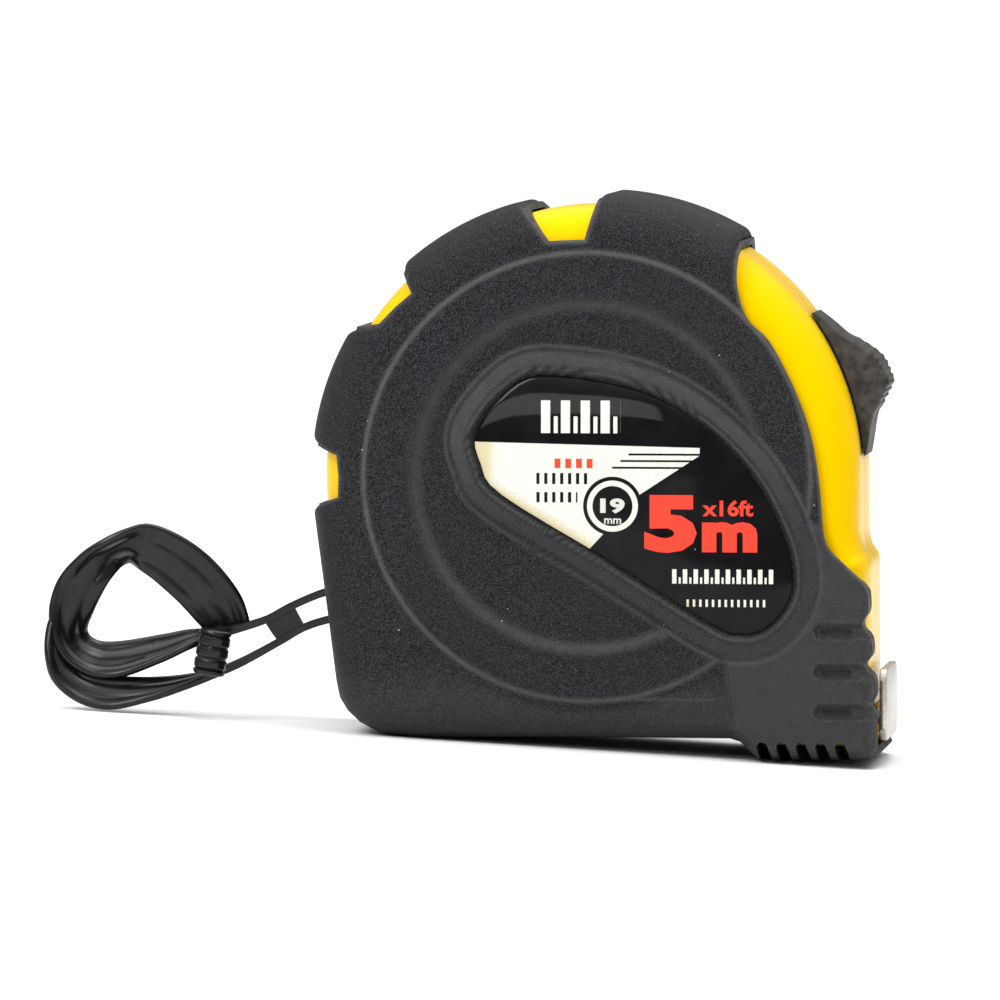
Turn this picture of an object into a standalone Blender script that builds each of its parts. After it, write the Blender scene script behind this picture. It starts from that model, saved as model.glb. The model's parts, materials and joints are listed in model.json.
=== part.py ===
"""Pocket tape measure with a 5 m by 19 mm blade, a two-part shell and a moulded rubber jacket.

Body coordinates: X points out of the mouth, Z up, Y from the label side to the belt clip side.
The middle of the crown's arc is above X = 0, and Z = 0 is the underside of the foot.
The foot is lower than the rest of the base, so the tape stands pitched up on the foot's heel and on
a small facet under its rear corner, and the blade runs out level with the ground.
"""
import math

import bmesh
import bpy
from mathutils import Matrix, Vector

# ---- driving dimensions, in metres ----
CROWN_RADIUS = 0.0355          # outside of the jacket's crown; the side view grows with it
BLADE_WIDTH = 0.019
BLADE_THICK = 0.00025
BLADE_HOLLOW = 0.0017          # height of the blade's curved section at the mouth
CLEARANCE = 0.0003             # gap that any two neighbouring pieces keep
SIDE_ROOM = 0.0030             # from the blade's edge to the inside of the shell
JACKET_WALL = 0.0014
SHELL_WALL = 0.0018
ROUND_DEPTH = 0.0070           # edge rounding, measured along the width
ROUND_INSET = 0.0055           # edge rounding, measured inwards from the outline
STANCE_PITCH = math.radians(3.37)
FLANGE_THICK = 0.0008
SPINDLE_RADIUS = 0.0026
SCREW_RADIUS = 0.0011
SCREW_HEAD_RADIUS = 0.0020
BOSS_WALL = 0.0017             # rubber-free post round each screw's hole
STRAP_PIN_RADIUS = 0.0009
STRAP_THICK = 0.0010
LADDER_HALF = 0.00225
CLIP_WIDTH = 0.0150
CLIP_THICK = 0.0010
CLIP_GAP = 0.0046
LOCK_TRAVEL = math.radians(9.0)
HOOK_THICK = 0.0010
HOOK_PLAY = 0.0010
RIVET_RADIUS = 0.0010

# ---- the side view, drawn for a crown of 35.5 mm and sized with it ----
SIZE = CROWN_RADIUS / 0.0355
CROWN_Z = 0.0358 * SIZE
FOOT_HEEL_X = 0.0217 * SIZE
FOOT_FRONT_X = 0.0369 * SIZE
BASE_Z = 0.00265 * SIZE
DRUM_Z = 0.0328 * SIZE
HUB_RADIUS = 0.0180 * SIZE
COIL_OUTER = 0.0250 * SIZE
STRAP_PIN_X = -0.0270 * SIZE
STRAP_PIN_Z = 0.0195 * SIZE
CLIP_TOP_Z = 0.0540 * SIZE
HOOK_LOW_Z = 0.0024 * SIZE
HOOK_HIGH_Z = 0.0115 * SIZE

# ---- values that follow from them ----
BLADE_HALF = BLADE_WIDTH / 2
CAVITY_SIDE = BLADE_HALF + SIDE_ROOM
SHELL_SIDE = CAVITY_SIDE + SHELL_WALL
SIDE_WALL = JACKET_WALL - 0.0002           # the rubber is thinner on the side face
JACKET_SIDE = SHELL_SIDE + CLEARANCE + SIDE_WALL     # half of the width over both jackets
COIL_INNER = HUB_RADIUS + CLEARANCE + 0.0001
FLANGE_RADIUS = COIL_OUTER + CLEARANCE
BOSS_RADIUS = SCREW_RADIUS + CLEARANCE + BOSS_WALL
SHELL_INSET = JACKET_WALL + CLEARANCE
CAVITY_INSET = SHELL_INSET + SHELL_WALL
SHELL_RADIUS = CROWN_RADIUS - SHELL_INSET
CAVITY_RADIUS = CROWN_RADIUS - CAVITY_INSET
FRONT_X = CROWN_RADIUS
NOSE_X = FOOT_FRONT_X - SHELL_INSET
HOOK_HALF_WIDTH = BLADE_HALF - 0.0005
MOUTH_HALF = BLADE_HALF + 0.0005
FLANGE_Y = BLADE_HALF + CLEARANCE
SIN_PITCH = math.sin(STANCE_PITCH)
COS_PITCH = math.cos(STANCE_PITCH)
GROUND_LIFT = -FOOT_HEEL_X * SIN_PITCH
SPLIT_HALF = CLEARANCE / 2
CROWN_STEPS = 36
BEYOND = 0.0500                # reach of a cutter past anything it cuts
SCREW_SPOTS = [(x * SIZE, z * SIZE) for x, z in
               ((0.0120, 0.0590), (-0.0249, 0.0472), (-0.0235, 0.0115), (0.0213, 0.0122))]


def to_ground(x, z):
    """A body point's X and height over the ground, with the tape standing."""
    return x * COS_PITCH - z * SIN_PITCH, x * SIN_PITCH + z * COS_PITCH + GROUND_LIFT


def polar(radius, degrees, centre=(0.0, CROWN_Z)):
    """A point on a circle in the X-Z plane, counted from +X towards +Z."""
    turn = math.radians(degrees)
    return centre[0] + radius * math.cos(turn), centre[1] + radius * math.sin(turn)


# ---- scene helpers ----
for old in list(bpy.data.objects):
    bpy.data.objects.remove(old, do_unlink=True)
SCENE = bpy.context.scene.collection
FRAME_ORIGIN = {}


def frame_empty(name, parent=None, origin=(0.0, 0.0, 0.0)):
    """An empty that carries a group; origin is its place in its own group's coordinates."""
    empty = bpy.data.objects.new(name, None)
    empty.empty_display_size = 0.005
    SCENE.objects.link(empty)
    origin = Vector(origin)
    FRAME_ORIGIN[name] = origin
    if parent is not None:
        empty.parent = parent
        empty.location = origin - FRAME_ORIGIN[parent.name]
    return empty


ground_frame = frame_empty("ground_frame")
body_frame = frame_empty("body_frame", ground_frame)
body_frame.location.z = GROUND_LIFT
body_frame.rotation_euler.y = -STANCE_PITCH
drum_axis = frame_empty("drum_axis", body_frame, (0.0, 0.0, DRUM_Z))
lock_pivot = frame_empty("lock_pivot", body_frame, (0.0, 0.0, CROWN_Z))
strap_pivot = frame_empty("strap_pivot", body_frame, (STRAP_PIN_X, 0.0, STRAP_PIN_Z))
COIL_X, COIL_GROUND_Z = to_ground(0.0, DRUM_Z)
BLADE_LEVEL = COIL_GROUND_Z - COIL_OUTER - CLEARANCE - BLADE_THICK / 2
blade_line = frame_empty("blade_line", ground_frame, (COIL_X, 0.0, BLADE_LEVEL))
hook_line = frame_empty("hook_line", blade_line, (FRONT_X, 0.0, BLADE_LEVEL))


def finish(name, colour, roughness, metallic=0.0):
    """A plain Principled material."""
    material = bpy.data.materials.new(name)
    material.use_nodes = True
    shader = material.node_tree.nodes["Principled BSDF"]
    shader.inputs["Base Color"].default_value = (*colour, 1.0)
    shader.inputs["Roughness"].default_value = roughness
    shader.inputs["Metallic"].default_value = metallic
    material.diffuse_color = (*colour, 1.0)
    return material


def add_object(name, bm, material, parent, cutter=False):
    """Close the mesh's loose ends, turn its faces outwards and place it under its parent."""
    bmesh.ops.remove_doubles(bm, verts=bm.verts, dist=1e-7)
    bmesh.ops.recalc_face_normals(bm, faces=bm.faces)
    bmesh.ops.translate(bm, verts=bm.verts, vec=-FRAME_ORIGIN[parent.name])
    mesh = bpy.data.meshes.new(name)
    bm.to_mesh(mesh)
    bm.free()
    mesh.shade_smooth()
    mesh.set_sharp_from_angle(angle=math.radians(32.0))
    obj = bpy.data.objects.new(name, mesh)
    obj.parent = parent
    SCENE.objects.link(obj)
    if cutter:
        obj.hide_render = True
        obj.display_type = "WIRE"
    else:
        obj.data.materials.append(material)
    return obj


def combine(target, bm, operation="DIFFERENCE"):
    """Cut or join the mesh's closed pieces with the target through a live Boolean."""
    label = "%s_tool_%d" % (target.name, len(target.modifiers) + 1)
    tool = add_object(label, bm, None, target.parent, cutter=True)
    boolean = target.modifiers.new(label, "BOOLEAN")
    boolean.operation = operation
    boolean.solver = "EXACT"
    boolean.object = tool


# ---- shape helpers: each adds one closed piece to a bmesh ----
def loft(bm, rings):
    """Skin a row of equal closed rings and cap both ends."""
    rows = [[bm.verts.new(point) for point in ring] for ring in rings]
    count = len(rows[0])
    for row, after in zip(rows, rows[1:]):
        for i in range(count):
            j = (i + 1) % count
            bm.faces.new((row[i], row[j], after[j], after[i]))
    bm.faces.new(rows[0])
    bm.faces.new(rows[-1])


def prism(bm, outline, y_from, y_to):
    """An X-Z outline carried along Y."""
    loft(bm, [[(x, y, z) for x, z in outline] for y in (y_from, y_to)])


def box(bm, low, high):
    """A plain block between two corners."""
    outline = [(low[0], low[2]), (high[0], low[2]), (high[0], high[2]), (low[0], high[2])]
    prism(bm, outline, low[1], high[1])


def turned(bm, profile, centre, steps, upright=False):
    """A closed profile of (radius, height) turned about a Y axis, or a Z axis when upright."""
    def place(a, b, height):
        return (a, b, height) if upright else (a, height, b)
    rows = []
    for radius, height in profile:
        if radius == 0.0:
            rows.append([bm.verts.new(place(*centre, height))] * steps)
            continue
        row = []
        for i in range(steps):
            a, b = polar(radius, 360.0 * i / steps, centre)
            row.append(bm.verts.new(place(a, b, height)))
        rows.append(row)
    for k, row in enumerate(rows):
        after = rows[(k + 1) % len(rows)]
        for i in range(steps):
            j = (i + 1) % steps
            corners = []
            for vert in (row[i], row[j], after[j], after[i]):
                if vert not in corners:
                    corners.append(vert)
            if len(corners) > 2:
                bm.faces.new(corners)


def cylinder(bm, radius, y_from, y_to, centre, steps=20):
    """A round bar along Y."""
    turned(bm, [(0.0, y_from), (radius, y_from), (radius, y_to), (0.0, y_to)], centre, steps)


def sector(bm, inner, outer, from_deg, to_deg, y_from, y_to, steps):
    """A stretch of a ring about the middle of the crown's arc."""
    turns = [from_deg + (to_deg - from_deg) * i / steps for i in range(steps + 1)]
    outline = [polar(outer, turn) for turn in turns]
    outline += [polar(inner, turn) for turn in reversed(turns)]
    prism(bm, outline, y_from, y_to)


def spiral(bm, inner, outer, thick, turns, half_width, start_deg, steps_per_turn):
    """A flat strip wound on edge about the drum's axis."""
    steps = int(turns * steps_per_turn)
    centre = (0.0, DRUM_Z)
    rings = []
    for i in range(steps + 1):
        share = i / steps
        radius = inner + thick / 2 + (outer - inner - thick) * share
        degrees = start_deg + 360.0 * turns * share
        x_in, z_in = polar(radius - thick / 2, degrees, centre)
        x_out, z_out = polar(radius + thick / 2, degrees, centre)
        ring = [(x_in, -half_width, z_in), (x_out, -half_width, z_out)]
        ring += [(x_out, half_width, z_out), (x_in, half_width, z_in)]
        rings.append(ring)
    loft(bm, rings)


CROWN_END = 188.0              # degrees of the crown's arc, from the front
REAR_FACET = (-0.0258, -0.0208)
REAR_CORNER = ((-0.0321, 0.0080), (-0.0295, 0.0043))
HEEL_STEP_X = 0.0185
NOSE_LOW = 0.0130
NOSE_HIGH = 0.0255
NOSE_END = 0.0275


def body_outline():
    """The jacket's outline as (x, z, rounding share), anticlockwise from the rear facet."""
    def stance_z(x):
        return (FOOT_HEEL_X - x) * math.tan(STANCE_PITCH)
    rear_x, rear_z = polar(CROWN_RADIUS, CROWN_END)
    facet = (REAR_FACET[0] * SIZE, REAR_FACET[1] * SIZE)
    corners = [(x * SIZE, z * SIZE) for x, z in REAR_CORNER]
    points = [(facet[0], stance_z(facet[0]), 0.8), (facet[1], stance_z(facet[1]), 0.7)]
    points += [(0.0000, BASE_Z, 0.55), (HEEL_STEP_X * SIZE, BASE_Z, 0.4), (FOOT_HEEL_X, 0.0, 0.3)]
    points += [(FOOT_FRONT_X, 0.0, 0.3), (FOOT_FRONT_X, NOSE_LOW * SIZE, 0.3)]
    points += [(FOOT_FRONT_X, NOSE_HIGH * SIZE, 0.4), (FRONT_X, NOSE_END * SIZE, 0.6)]
    points += [(FRONT_X, CROWN_Z, 1.0)]
    for i in range(1, CROWN_STEPS + 1):
        x, z = polar(CROWN_RADIUS, CROWN_END * i / CROWN_STEPS)
        points.append((x, z, 1.0))
    points.append((0.5 * (rear_x + corners[0][0]), 0.5 * (rear_z + corners[0][1]), 1.0))
    points += [(*corners[0], 0.8), (*corners[1], 0.8)]
    return points


def inset_ring(points, inset, rounding, y):
    """The outline moved inwards along its mitres, by inset plus each point's share of rounding."""
    ring = []
    count = len(points)
    for i in range(count):
        x, z, share = points[i]
        before = Vector(points[i][:2]) - Vector(points[i - 1][:2])
        after = Vector(points[(i + 1) % count][:2]) - Vector(points[i][:2])
        before.normalize()
        after.normalize()
        normal_a = Vector((-before.y, before.x))
        normal_b = Vector((-after.y, after.x))
        mitre = (normal_a + normal_b) / (1.0 + normal_a.dot(normal_b))
        move = inset + rounding * share
        ring.append((x + mitre.x * move, y, z + mitre.y * move))
    return ring


def rounded_rings(side, inset, half_width):
    """Rings from the split to the side face, on the side given by its sign."""
    points = body_outline()
    rings = [inset_ring(points, inset, 0.0, side * SPLIT_HALF)]
    for turn in (0.0, 30.0, 60.0, 90.0):
        angle = math.radians(turn)
        y = half_width - ROUND_DEPTH * (1.0 - math.sin(angle))
        rings.append(inset_ring(points, inset, ROUND_INSET * (1.0 - math.cos(angle)), side * y))
    return rings


def half_case(bm, side, outer_inset, outer_side, inner_inset, inner_side):
    """One hollow half of the body, open at the split."""
    inner = rounded_rings(side, inner_inset, inner_side)
    outer = rounded_rings(side, outer_inset, outer_side)
    loft(bm, list(reversed(inner)) + outer)


# ---- finishes ----
YELLOW = finish("yellow_abs", (0.95, 0.70, 0.0), 0.32)
RUBBER = finish("charcoal_rubber", (0.035, 0.036, 0.040), 0.75)
BLACK = finish("black_nylon", (0.02, 0.02, 0.022), 0.5)
PVC = finish("black_pvc", (0.012, 0.012, 0.014), 0.3)
LABEL = finish("label_film", (0.01, 0.01, 0.01), 0.12)
STEEL = finish("zinc_steel", (0.62, 0.60, 0.56), 0.35, 1.0)
SPRING = finish("spring_steel", (0.32, 0.33, 0.36), 0.3, 1.0)
PAINTED = finish("painted_blade", (0.9, 0.68, 0.03), 0.4)
WHITE = finish("white_pom", (0.82, 0.82, 0.78), 0.45)


# ---- shells ----
NECK_HALF = 0.0028
NECK_FROM = 16.0
NECK_TO = 28.0
SLOT_MARGIN = 1.6              # degrees of free way past the neck at both ends of its travel
SCREW_HEAD_HIGH = SHELL_SIDE - CLEARANCE
SCREW_HEAD_LOW = SCREW_HEAD_HIGH - 0.0014
SCREW_END = -(BLADE_HALF - 0.0005)
CLIP_SCREW_Z = CLIP_TOP_Z - 0.0030
CLIP_SCREW_RADIUS = 0.0012
CLIP_SCREW_END = CAVITY_SIDE - 0.0009
CHANNEL_FLOOR = 0.00515 * SIZE
LIP_TOP = 0.0026 * SIZE
MOUTH_TOP = 0.0066 * SIZE
STRAP_SLOT_HALF = STRAP_THICK / 2 + 0.0011
STRAP_SLOT_LOW = STRAP_PIN_Z - 0.0045
STRAP_SLOT_HIGH = STRAP_PIN_Z + 0.0060
STRAP_SLOT_IN = STRAP_PIN_X - 0.0022
PIN_END_Y = CAVITY_SIDE - 0.0019
PIN_RIB_Y = PIN_END_Y - 0.0020


def cut_common(case):
    """Openings that both shells share: blade channel and mouth, strap slot, lock slot."""
    bm = bmesh.new()
    back, ramp_top, ramp_foot, roof = [x * SIZE for x in (-0.0080, 0.0192, 0.0232, 0.0300)]
    channel = [(back, CHANNEL_FLOOR), (ramp_top, CHANNEL_FLOOR), (ramp_foot, LIP_TOP)]
    channel += [(BEYOND, LIP_TOP), (BEYOND, MOUTH_TOP), (roof, MOUTH_TOP), (back, 0.0090 * SIZE)]
    prism(bm, channel, -MOUTH_HALF, MOUTH_HALF)
    combine(case, bm)
    bm = bmesh.new()
    box(bm, (-BEYOND, -STRAP_SLOT_HALF, STRAP_SLOT_LOW), (STRAP_SLOT_IN, STRAP_SLOT_HALF, STRAP_SLOT_HIGH))
    combine(case, bm)
    bm = bmesh.new()
    low = NECK_FROM - math.degrees(LOCK_TRAVEL) - SLOT_MARGIN
    wide = NECK_HALF + CLEARANCE
    sector(bm, CAVITY_RADIUS - 0.002, CROWN_RADIUS, low, NECK_TO + SLOT_MARGIN, -wide, wide, 8)
    combine(case, bm)


def add_seats(case, side):
    """Rings that hold the spindle and the strap pin, and the posts round the screws."""
    wall = CAVITY_SIDE + 0.0002
    spindle_bore = SPINDLE_RADIUS + CLEARANCE
    bm = bmesh.new()
    face = CAVITY_SIDE - 0.0013
    ring = [(spindle_bore, side * face), (spindle_bore + 0.0015, side * face)]
    ring += [(spindle_bore + 0.0015, side * wall), (spindle_bore, side * wall)]
    turned(bm, ring, (0.0, DRUM_Z), 24)
    pin_bore = STRAP_PIN_RADIUS + CLEARANCE
    ring = [(pin_bore, side * PIN_RIB_Y), (pin_bore + 0.0011, side * PIN_RIB_Y)]
    ring += [(pin_bore + 0.0011, side * wall), (pin_bore, side * wall)]
    turned(bm, ring, (STRAP_PIN_X, STRAP_PIN_Z), 16)
    for spot in SCREW_SPOTS:
        cylinder(bm, BOSS_RADIUS, side * SPLIT_HALF, side * wall, spot, 16)
    if side > 0:
        cylinder(bm, 2.2 * CLIP_SCREW_RADIUS, CLIP_SCREW_END - CLEARANCE, wall, (0.0, CLIP_SCREW_Z), 16)
    combine(case, bm, "UNION")


def make_shells():
    """Near shell on the label side, far shell on the belt clip side."""
    for name, side in (("near_shell", -1.0), ("far_shell", 1.0)):
        bm = bmesh.new()
        half_case(bm, side, SHELL_INSET, SHELL_SIDE, CAVITY_INSET, CAVITY_SIDE)
        case = add_object(name, bm, YELLOW, body_frame)
        add_seats(case, side)
        cut_common(case)
        hole = SCREW_RADIUS + CLEARANCE
        bm = bmesh.new()
        for spot in SCREW_SPOTS:
            if side > 0:
                head = SCREW_HEAD_RADIUS + CLEARANCE
                floor = SCREW_HEAD_LOW - CLEARANCE
                bore = [(0.0, -0.001), (hole, -0.001), (hole, floor), (head, floor)]
                bore += [(head, BEYOND), (0.0, BEYOND)]
                turned(bm, bore, spot, 16)
            else:
                cylinder(bm, hole, 0.001, SCREW_END - CLEARANCE, spot, 16)
        if side > 0:
            bore = CLIP_SCREW_RADIUS + CLEARANCE
            cylinder(bm, bore, CLIP_SCREW_END - 0.001, BEYOND, (0.0, CLIP_SCREW_Z), 16)
        combine(case, bm)


# ---- jackets ----
FRONT_EDGE = ((0.0187, 0.0750), (0.0189, 0.0657), (0.0187, 0.0604), (0.0200, 0.0558),
              (0.0229, 0.0528), (0.0261, 0.0467), (0.0282, 0.0407), (0.0292, 0.0346),
              (0.0297, 0.0285), (0.0303, 0.0270), (0.0350, 0.0225), (0.0354, 0.0202),
              (0.0349, 0.0180), (0.0357, 0.0149), (0.0352, 0.0126), (0.0362, 0.0101),
              (0.0359, 0.0076), (0.0366, 0.0058), (0.0368, 0.0025), (0.0366, -0.0010))
LABEL_OUTLINE = ((-0.0138, 0.0417), (-0.0088, 0.0475), (-0.0032, 0.0484), (0.0069, 0.0465),
                 (0.0145, 0.0423), (0.0208, 0.0360), (0.0246, 0.0290), (0.0259, 0.0240),
                 (0.0253, 0.0202), (0.0227, 0.0171), (0.0196, 0.0162), (0.0158, 0.0174),
                 (0.0026, 0.0255), (-0.0107, 0.0335), (-0.0133, 0.0373))
LABEL_OUT = JACKET_SIDE + 0.0004           # the label's face, from the middle plane
LABEL_BACK = JACKET_SIDE - 0.0004
RIM_OUT = JACKET_SIDE + 0.0006
RIM_WIDTH = 0.0034
SEAT_EDGE = MOUTH_HALF         # half of the width that the jackets leave free round the nose
NOSE_FLOOR = 0.0019
NOSE_ROOF = 0.0300
# Corners of the open notches: (radius, degrees) about the middle of the crown's arc, or (x, z).
TOP_NOTCH = ((0.0297, 90.8), (0.0299, 99.2), (0.0420, 104.7), (0.0420, 87.4))
HIGH_NOTCH = ((0.0319, 134.1), (0.0324, 144.2), (0.0420, 151.0), (0.0420, 131.3))
REAR_NOTCH_EDGE = ((-0.0316, 0.0385), (-0.0316, 0.0328))
REAR_NOTCH_MOUTH = ((0.0420, 188.0), (0.0420, 172.3))


def rounded_loop(corners, steps):
    """A closed outline through the corners, curved by a Catmull-Rom rule."""
    count = len(corners)
    points = []
    for i in range(count):
        p0, p1, p2, p3 = (Vector(corners[(i + k) % count]) * SIZE for k in (-1, 0, 1, 2))
        for j in range(steps):
            t = j / steps
            point = 0.5 * (2 * p1 + (p2 - p0) * t + (2 * p0 - 5 * p1 + 4 * p2 - p3) * t * t
                           + (3 * p1 - p0 - 3 * p2 + p3) * t ** 3)
            points.append((point.x, point.y))
    return points


def grown(outline, distance):
    """An outline pushed outwards; it may run either way round."""
    area = 0.0
    for a, b in zip(outline, outline[1:] + outline[:1]):
        area += a[0] * b[1] - b[0] * a[1]
    flat = [(x, z, 0.0) for x, z in outline]
    inset = -distance if area > 0 else distance
    return [(x, z) for x, _, z in inset_ring(flat, inset, 0.0, 0.0)]


def make_jackets():
    """Rubber jackets moulded over each shell, with pads over the crown and open notches."""
    for name, side in (("near_jacket", -1.0), ("far_jacket", 1.0)):
        bm = bmesh.new()
        inner_side = SHELL_SIDE + CLEARANCE
        half_case(bm, side, 0.0, JACKET_SIDE, JACKET_WALL, inner_side)
        jacket = add_object(name, bm, RUBBER, body_frame)
        bm = bmesh.new()
        front = [(x * SIZE, z * SIZE) for x, z in FRONT_EDGE]
        prism(bm, front + [(BEYOND, front[-1][1]), (BEYOND, front[0][1])], -BEYOND, BEYOND)
        combine(jacket, bm)
        bm = bmesh.new()
        for notch in (TOP_NOTCH, HIGH_NOTCH):
            prism(bm, [polar(radius * SIZE, turn) for radius, turn in notch], -BEYOND, BEYOND)
        rear = [(x * SIZE, z * SIZE) for x, z in REAR_NOTCH_EDGE]
        prism(bm, rear + [polar(radius * SIZE, turn) for radius, turn in REAR_NOTCH_MOUTH], -BEYOND, BEYOND)
        combine(jacket, bm)
        bm = bmesh.new()
        box(bm, (NOSE_X - 0.0002, -SEAT_EDGE, NOSE_FLOOR * SIZE), (BEYOND, SEAT_EDGE, NOSE_ROOF * SIZE))
        box(bm, (-BEYOND, -STRAP_SLOT_HALF, STRAP_SLOT_LOW), (STRAP_SLOT_IN, STRAP_SLOT_HALF, STRAP_SLOT_HIGH))
        if side > 0:
            for spot in SCREW_SPOTS:
                cylinder(bm, SCREW_HEAD_RADIUS + 0.0006, 0.0050, BEYOND, spot, 16)
            bore = CLIP_SCREW_RADIUS + CLEARANCE
            cylinder(bm, bore, 0.0100, BEYOND, (0.0, CLIP_SCREW_Z), 16)
        combine(jacket, bm)
        if side < 0:
            label = rounded_loop(LABEL_OUTLINE, 2)
            bm = bmesh.new()
            prism(bm, grown(label, RIM_WIDTH), -RIM_OUT, -LABEL_BACK)
            combine(jacket, bm, "UNION")
            bm = bmesh.new()
            prism(bm, grown(label, CLEARANCE), -BEYOND, -LABEL_BACK + CLEARANCE)
            combine(jacket, bm)


def make_label():
    """A domed film that sits in the near jacket's pocket."""
    label = rounded_loop(LABEL_OUTLINE, 2)
    bm = bmesh.new()
    rings = []
    for out, inset in ((LABEL_BACK, 0.0), (LABEL_OUT - 0.0002, 0.0), (LABEL_OUT, 0.0005)):
        rings.append([(x, -out, z) for x, z in grown(label, -inset)])
    loft(bm, rings)
    add_object("near_label", bm, LABEL, body_frame)


# ---- spindle, screws, clip and strap pin ----
def make_fixed_hardware():
    """Bars and screws that stay with the housing."""
    end = CAVITY_SIDE - CLEARANCE
    bm = bmesh.new()
    cylinder(bm, SPINDLE_RADIUS, -end, end, (0.0, DRUM_Z), 24)
    add_object("spindle", bm, STEEL, body_frame)
    bm = bmesh.new()
    cylinder(bm, STRAP_PIN_RADIUS, -PIN_END_Y, PIN_END_Y, (STRAP_PIN_X, STRAP_PIN_Z), 14)
    add_object("strap_pin", bm, STEEL, body_frame)
    for number, spot in enumerate(SCREW_SPOTS, 1):
        bm = bmesh.new()
        profile = [(0.0, SCREW_END), (SCREW_RADIUS, SCREW_END), (SCREW_RADIUS, SCREW_HEAD_LOW)]
        profile += [(SCREW_HEAD_RADIUS, SCREW_HEAD_LOW), (SCREW_HEAD_RADIUS, SCREW_HEAD_HIGH - 0.0004)]
        profile += [(SCREW_HEAD_RADIUS - 0.0005, SCREW_HEAD_HIGH), (0.0, SCREW_HEAD_HIGH)]
        turned(bm, profile, spot, 14)
        add_object("shell_screw_%d" % number, bm, STEEL, body_frame)


def make_belt_clip():
    """A bent spring strip on the far side, held by one screw."""
    near_face = JACKET_SIDE + CLEARANCE
    pad = near_face + CLIP_THICK / 2
    arm = JACKET_SIDE + CLIP_GAP + CLIP_THICK / 2
    bend = CLIP_TOP_Z - 0.0075
    tip = 0.0115 * SIZE
    path = [(pad, CLIP_TOP_Z), (pad, bend), (pad + 0.0008, bend - 0.0015)]
    path += [(arm - 0.0006, bend - 0.0015 - 0.83 * CLIP_GAP), (arm, bend - 0.0070)]
    path += [(arm, tip + 0.0045), (arm + 0.0014, tip)]
    left = []
    right = []
    for i, point in enumerate(path):
        before = Vector(path[max(i - 1, 0)])
        after = Vector(path[min(i + 1, len(path) - 1)])
        along = (after - before).normalized()
        normal = Vector((-along.y, along.x)) * CLIP_THICK / 2
        left.append((point[0] + normal.x, point[1] + normal.y))
        right.append((point[0] - normal.x, point[1] - normal.y))
    outline = left + right[::-1]
    bm = bmesh.new()
    half = CLIP_WIDTH / 2
    loft(bm, [[(x, y, z) for y, z in outline] for x in (-half, half)])
    clip = add_object("belt_clip", bm, SPRING, body_frame)
    bm = bmesh.new()
    cylinder(bm, CLIP_SCREW_RADIUS + CLEARANCE, pad - 0.0015, pad + 0.0015, (0.0, CLIP_SCREW_Z), 16)
    combine(clip, bm)
    under_head = near_face + CLIP_THICK + CLEARANCE
    profile = [(0.0, CLIP_SCREW_END), (CLIP_SCREW_RADIUS, CLIP_SCREW_END)]
    profile += [(CLIP_SCREW_RADIUS, under_head), (0.0028, under_head), (0.0028, under_head + 0.0006)]
    profile += [(0.0020, under_head + 0.0013), (0.0, under_head + 0.0015)]
    bm = bmesh.new()
    turned(bm, profile, (0.0, CLIP_SCREW_Z), 20)
    add_object("belt_clip_screw", bm, STEEL, body_frame)


# ---- drum, coil and power spring ----
def make_drum():
    """The reel: hub with its far flange, near cover, spring inside and blade outside."""
    bore = SPINDLE_RADIUS + 0.0004
    inner_hub = HUB_RADIUS - 0.0008
    out = FLANGE_Y + FLANGE_THICK
    hub_end = -FLANGE_Y + CLEARANCE
    profile = [(bore, out), (FLANGE_RADIUS, out), (FLANGE_RADIUS, FLANGE_Y), (HUB_RADIUS, FLANGE_Y)]
    profile += [(HUB_RADIUS, hub_end), (inner_hub, hub_end), (inner_hub, FLANGE_Y), (bore, FLANGE_Y)]
    bm = bmesh.new()
    turned(bm, profile, (0.0, DRUM_Z), 36)
    add_object("drum", bm, WHITE, drum_axis)
    profile = [(bore, -out), (FLANGE_RADIUS, -out), (FLANGE_RADIUS, -FLANGE_Y), (bore, -FLANGE_Y)]
    bm = bmesh.new()
    turned(bm, profile, (0.0, DRUM_Z), 36)
    add_object("drum_cover", bm, WHITE, drum_axis)
    bm = bmesh.new()
    spiral(bm, bore + 0.0014, inner_hub - 0.0004, 0.0005, 5.0, BLADE_HALF - 0.0009, 0.0, 20)
    add_object("power_spring", bm, SPRING, drum_axis)
    bm = bmesh.new()
    spiral(bm, COIL_INNER, COIL_OUTER, 0.0008, 5.0, BLADE_HALF, 270.0, 24)
    add_object("blade_coil", bm, PAINTED, drum_axis)


# ---- blade and end hook ----
HOOK_INNER_X = FOOT_FRONT_X - 0.0006
PLATE_X = to_ground(HOOK_INNER_X, MOUTH_TOP)[0]
HOLLOW_FROM = 0.0080 * SIZE
HOLLOW_TO = 0.0270 * SIZE
TONGUE_BACK = PLATE_X - 0.01155
TONGUE_HALF = 0.0050
TONGUE_THICK = 0.0007
RIVET_SPOTS = (PLATE_X - 0.00935, PLATE_X - 0.00435)


def hollow_height(y, share=1.0):
    """Height of the blade's curved section over its mean level."""
    return BLADE_HOLLOW * share * ((y / BLADE_HALF) ** 2 - 0.6)


def across(half, low, high, x, share, steps):
    """A curved strip's closed section at one X, between two heights over the section's curve."""
    ys = [-half + 2 * half * i / steps for i in range(steps + 1)]
    ring = [(x, y, BLADE_LEVEL + hollow_height(y, share) + low) for y in ys]
    ring += [(x, y, BLADE_LEVEL + hollow_height(y, share) + high) for y in reversed(ys)]
    return ring


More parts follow.
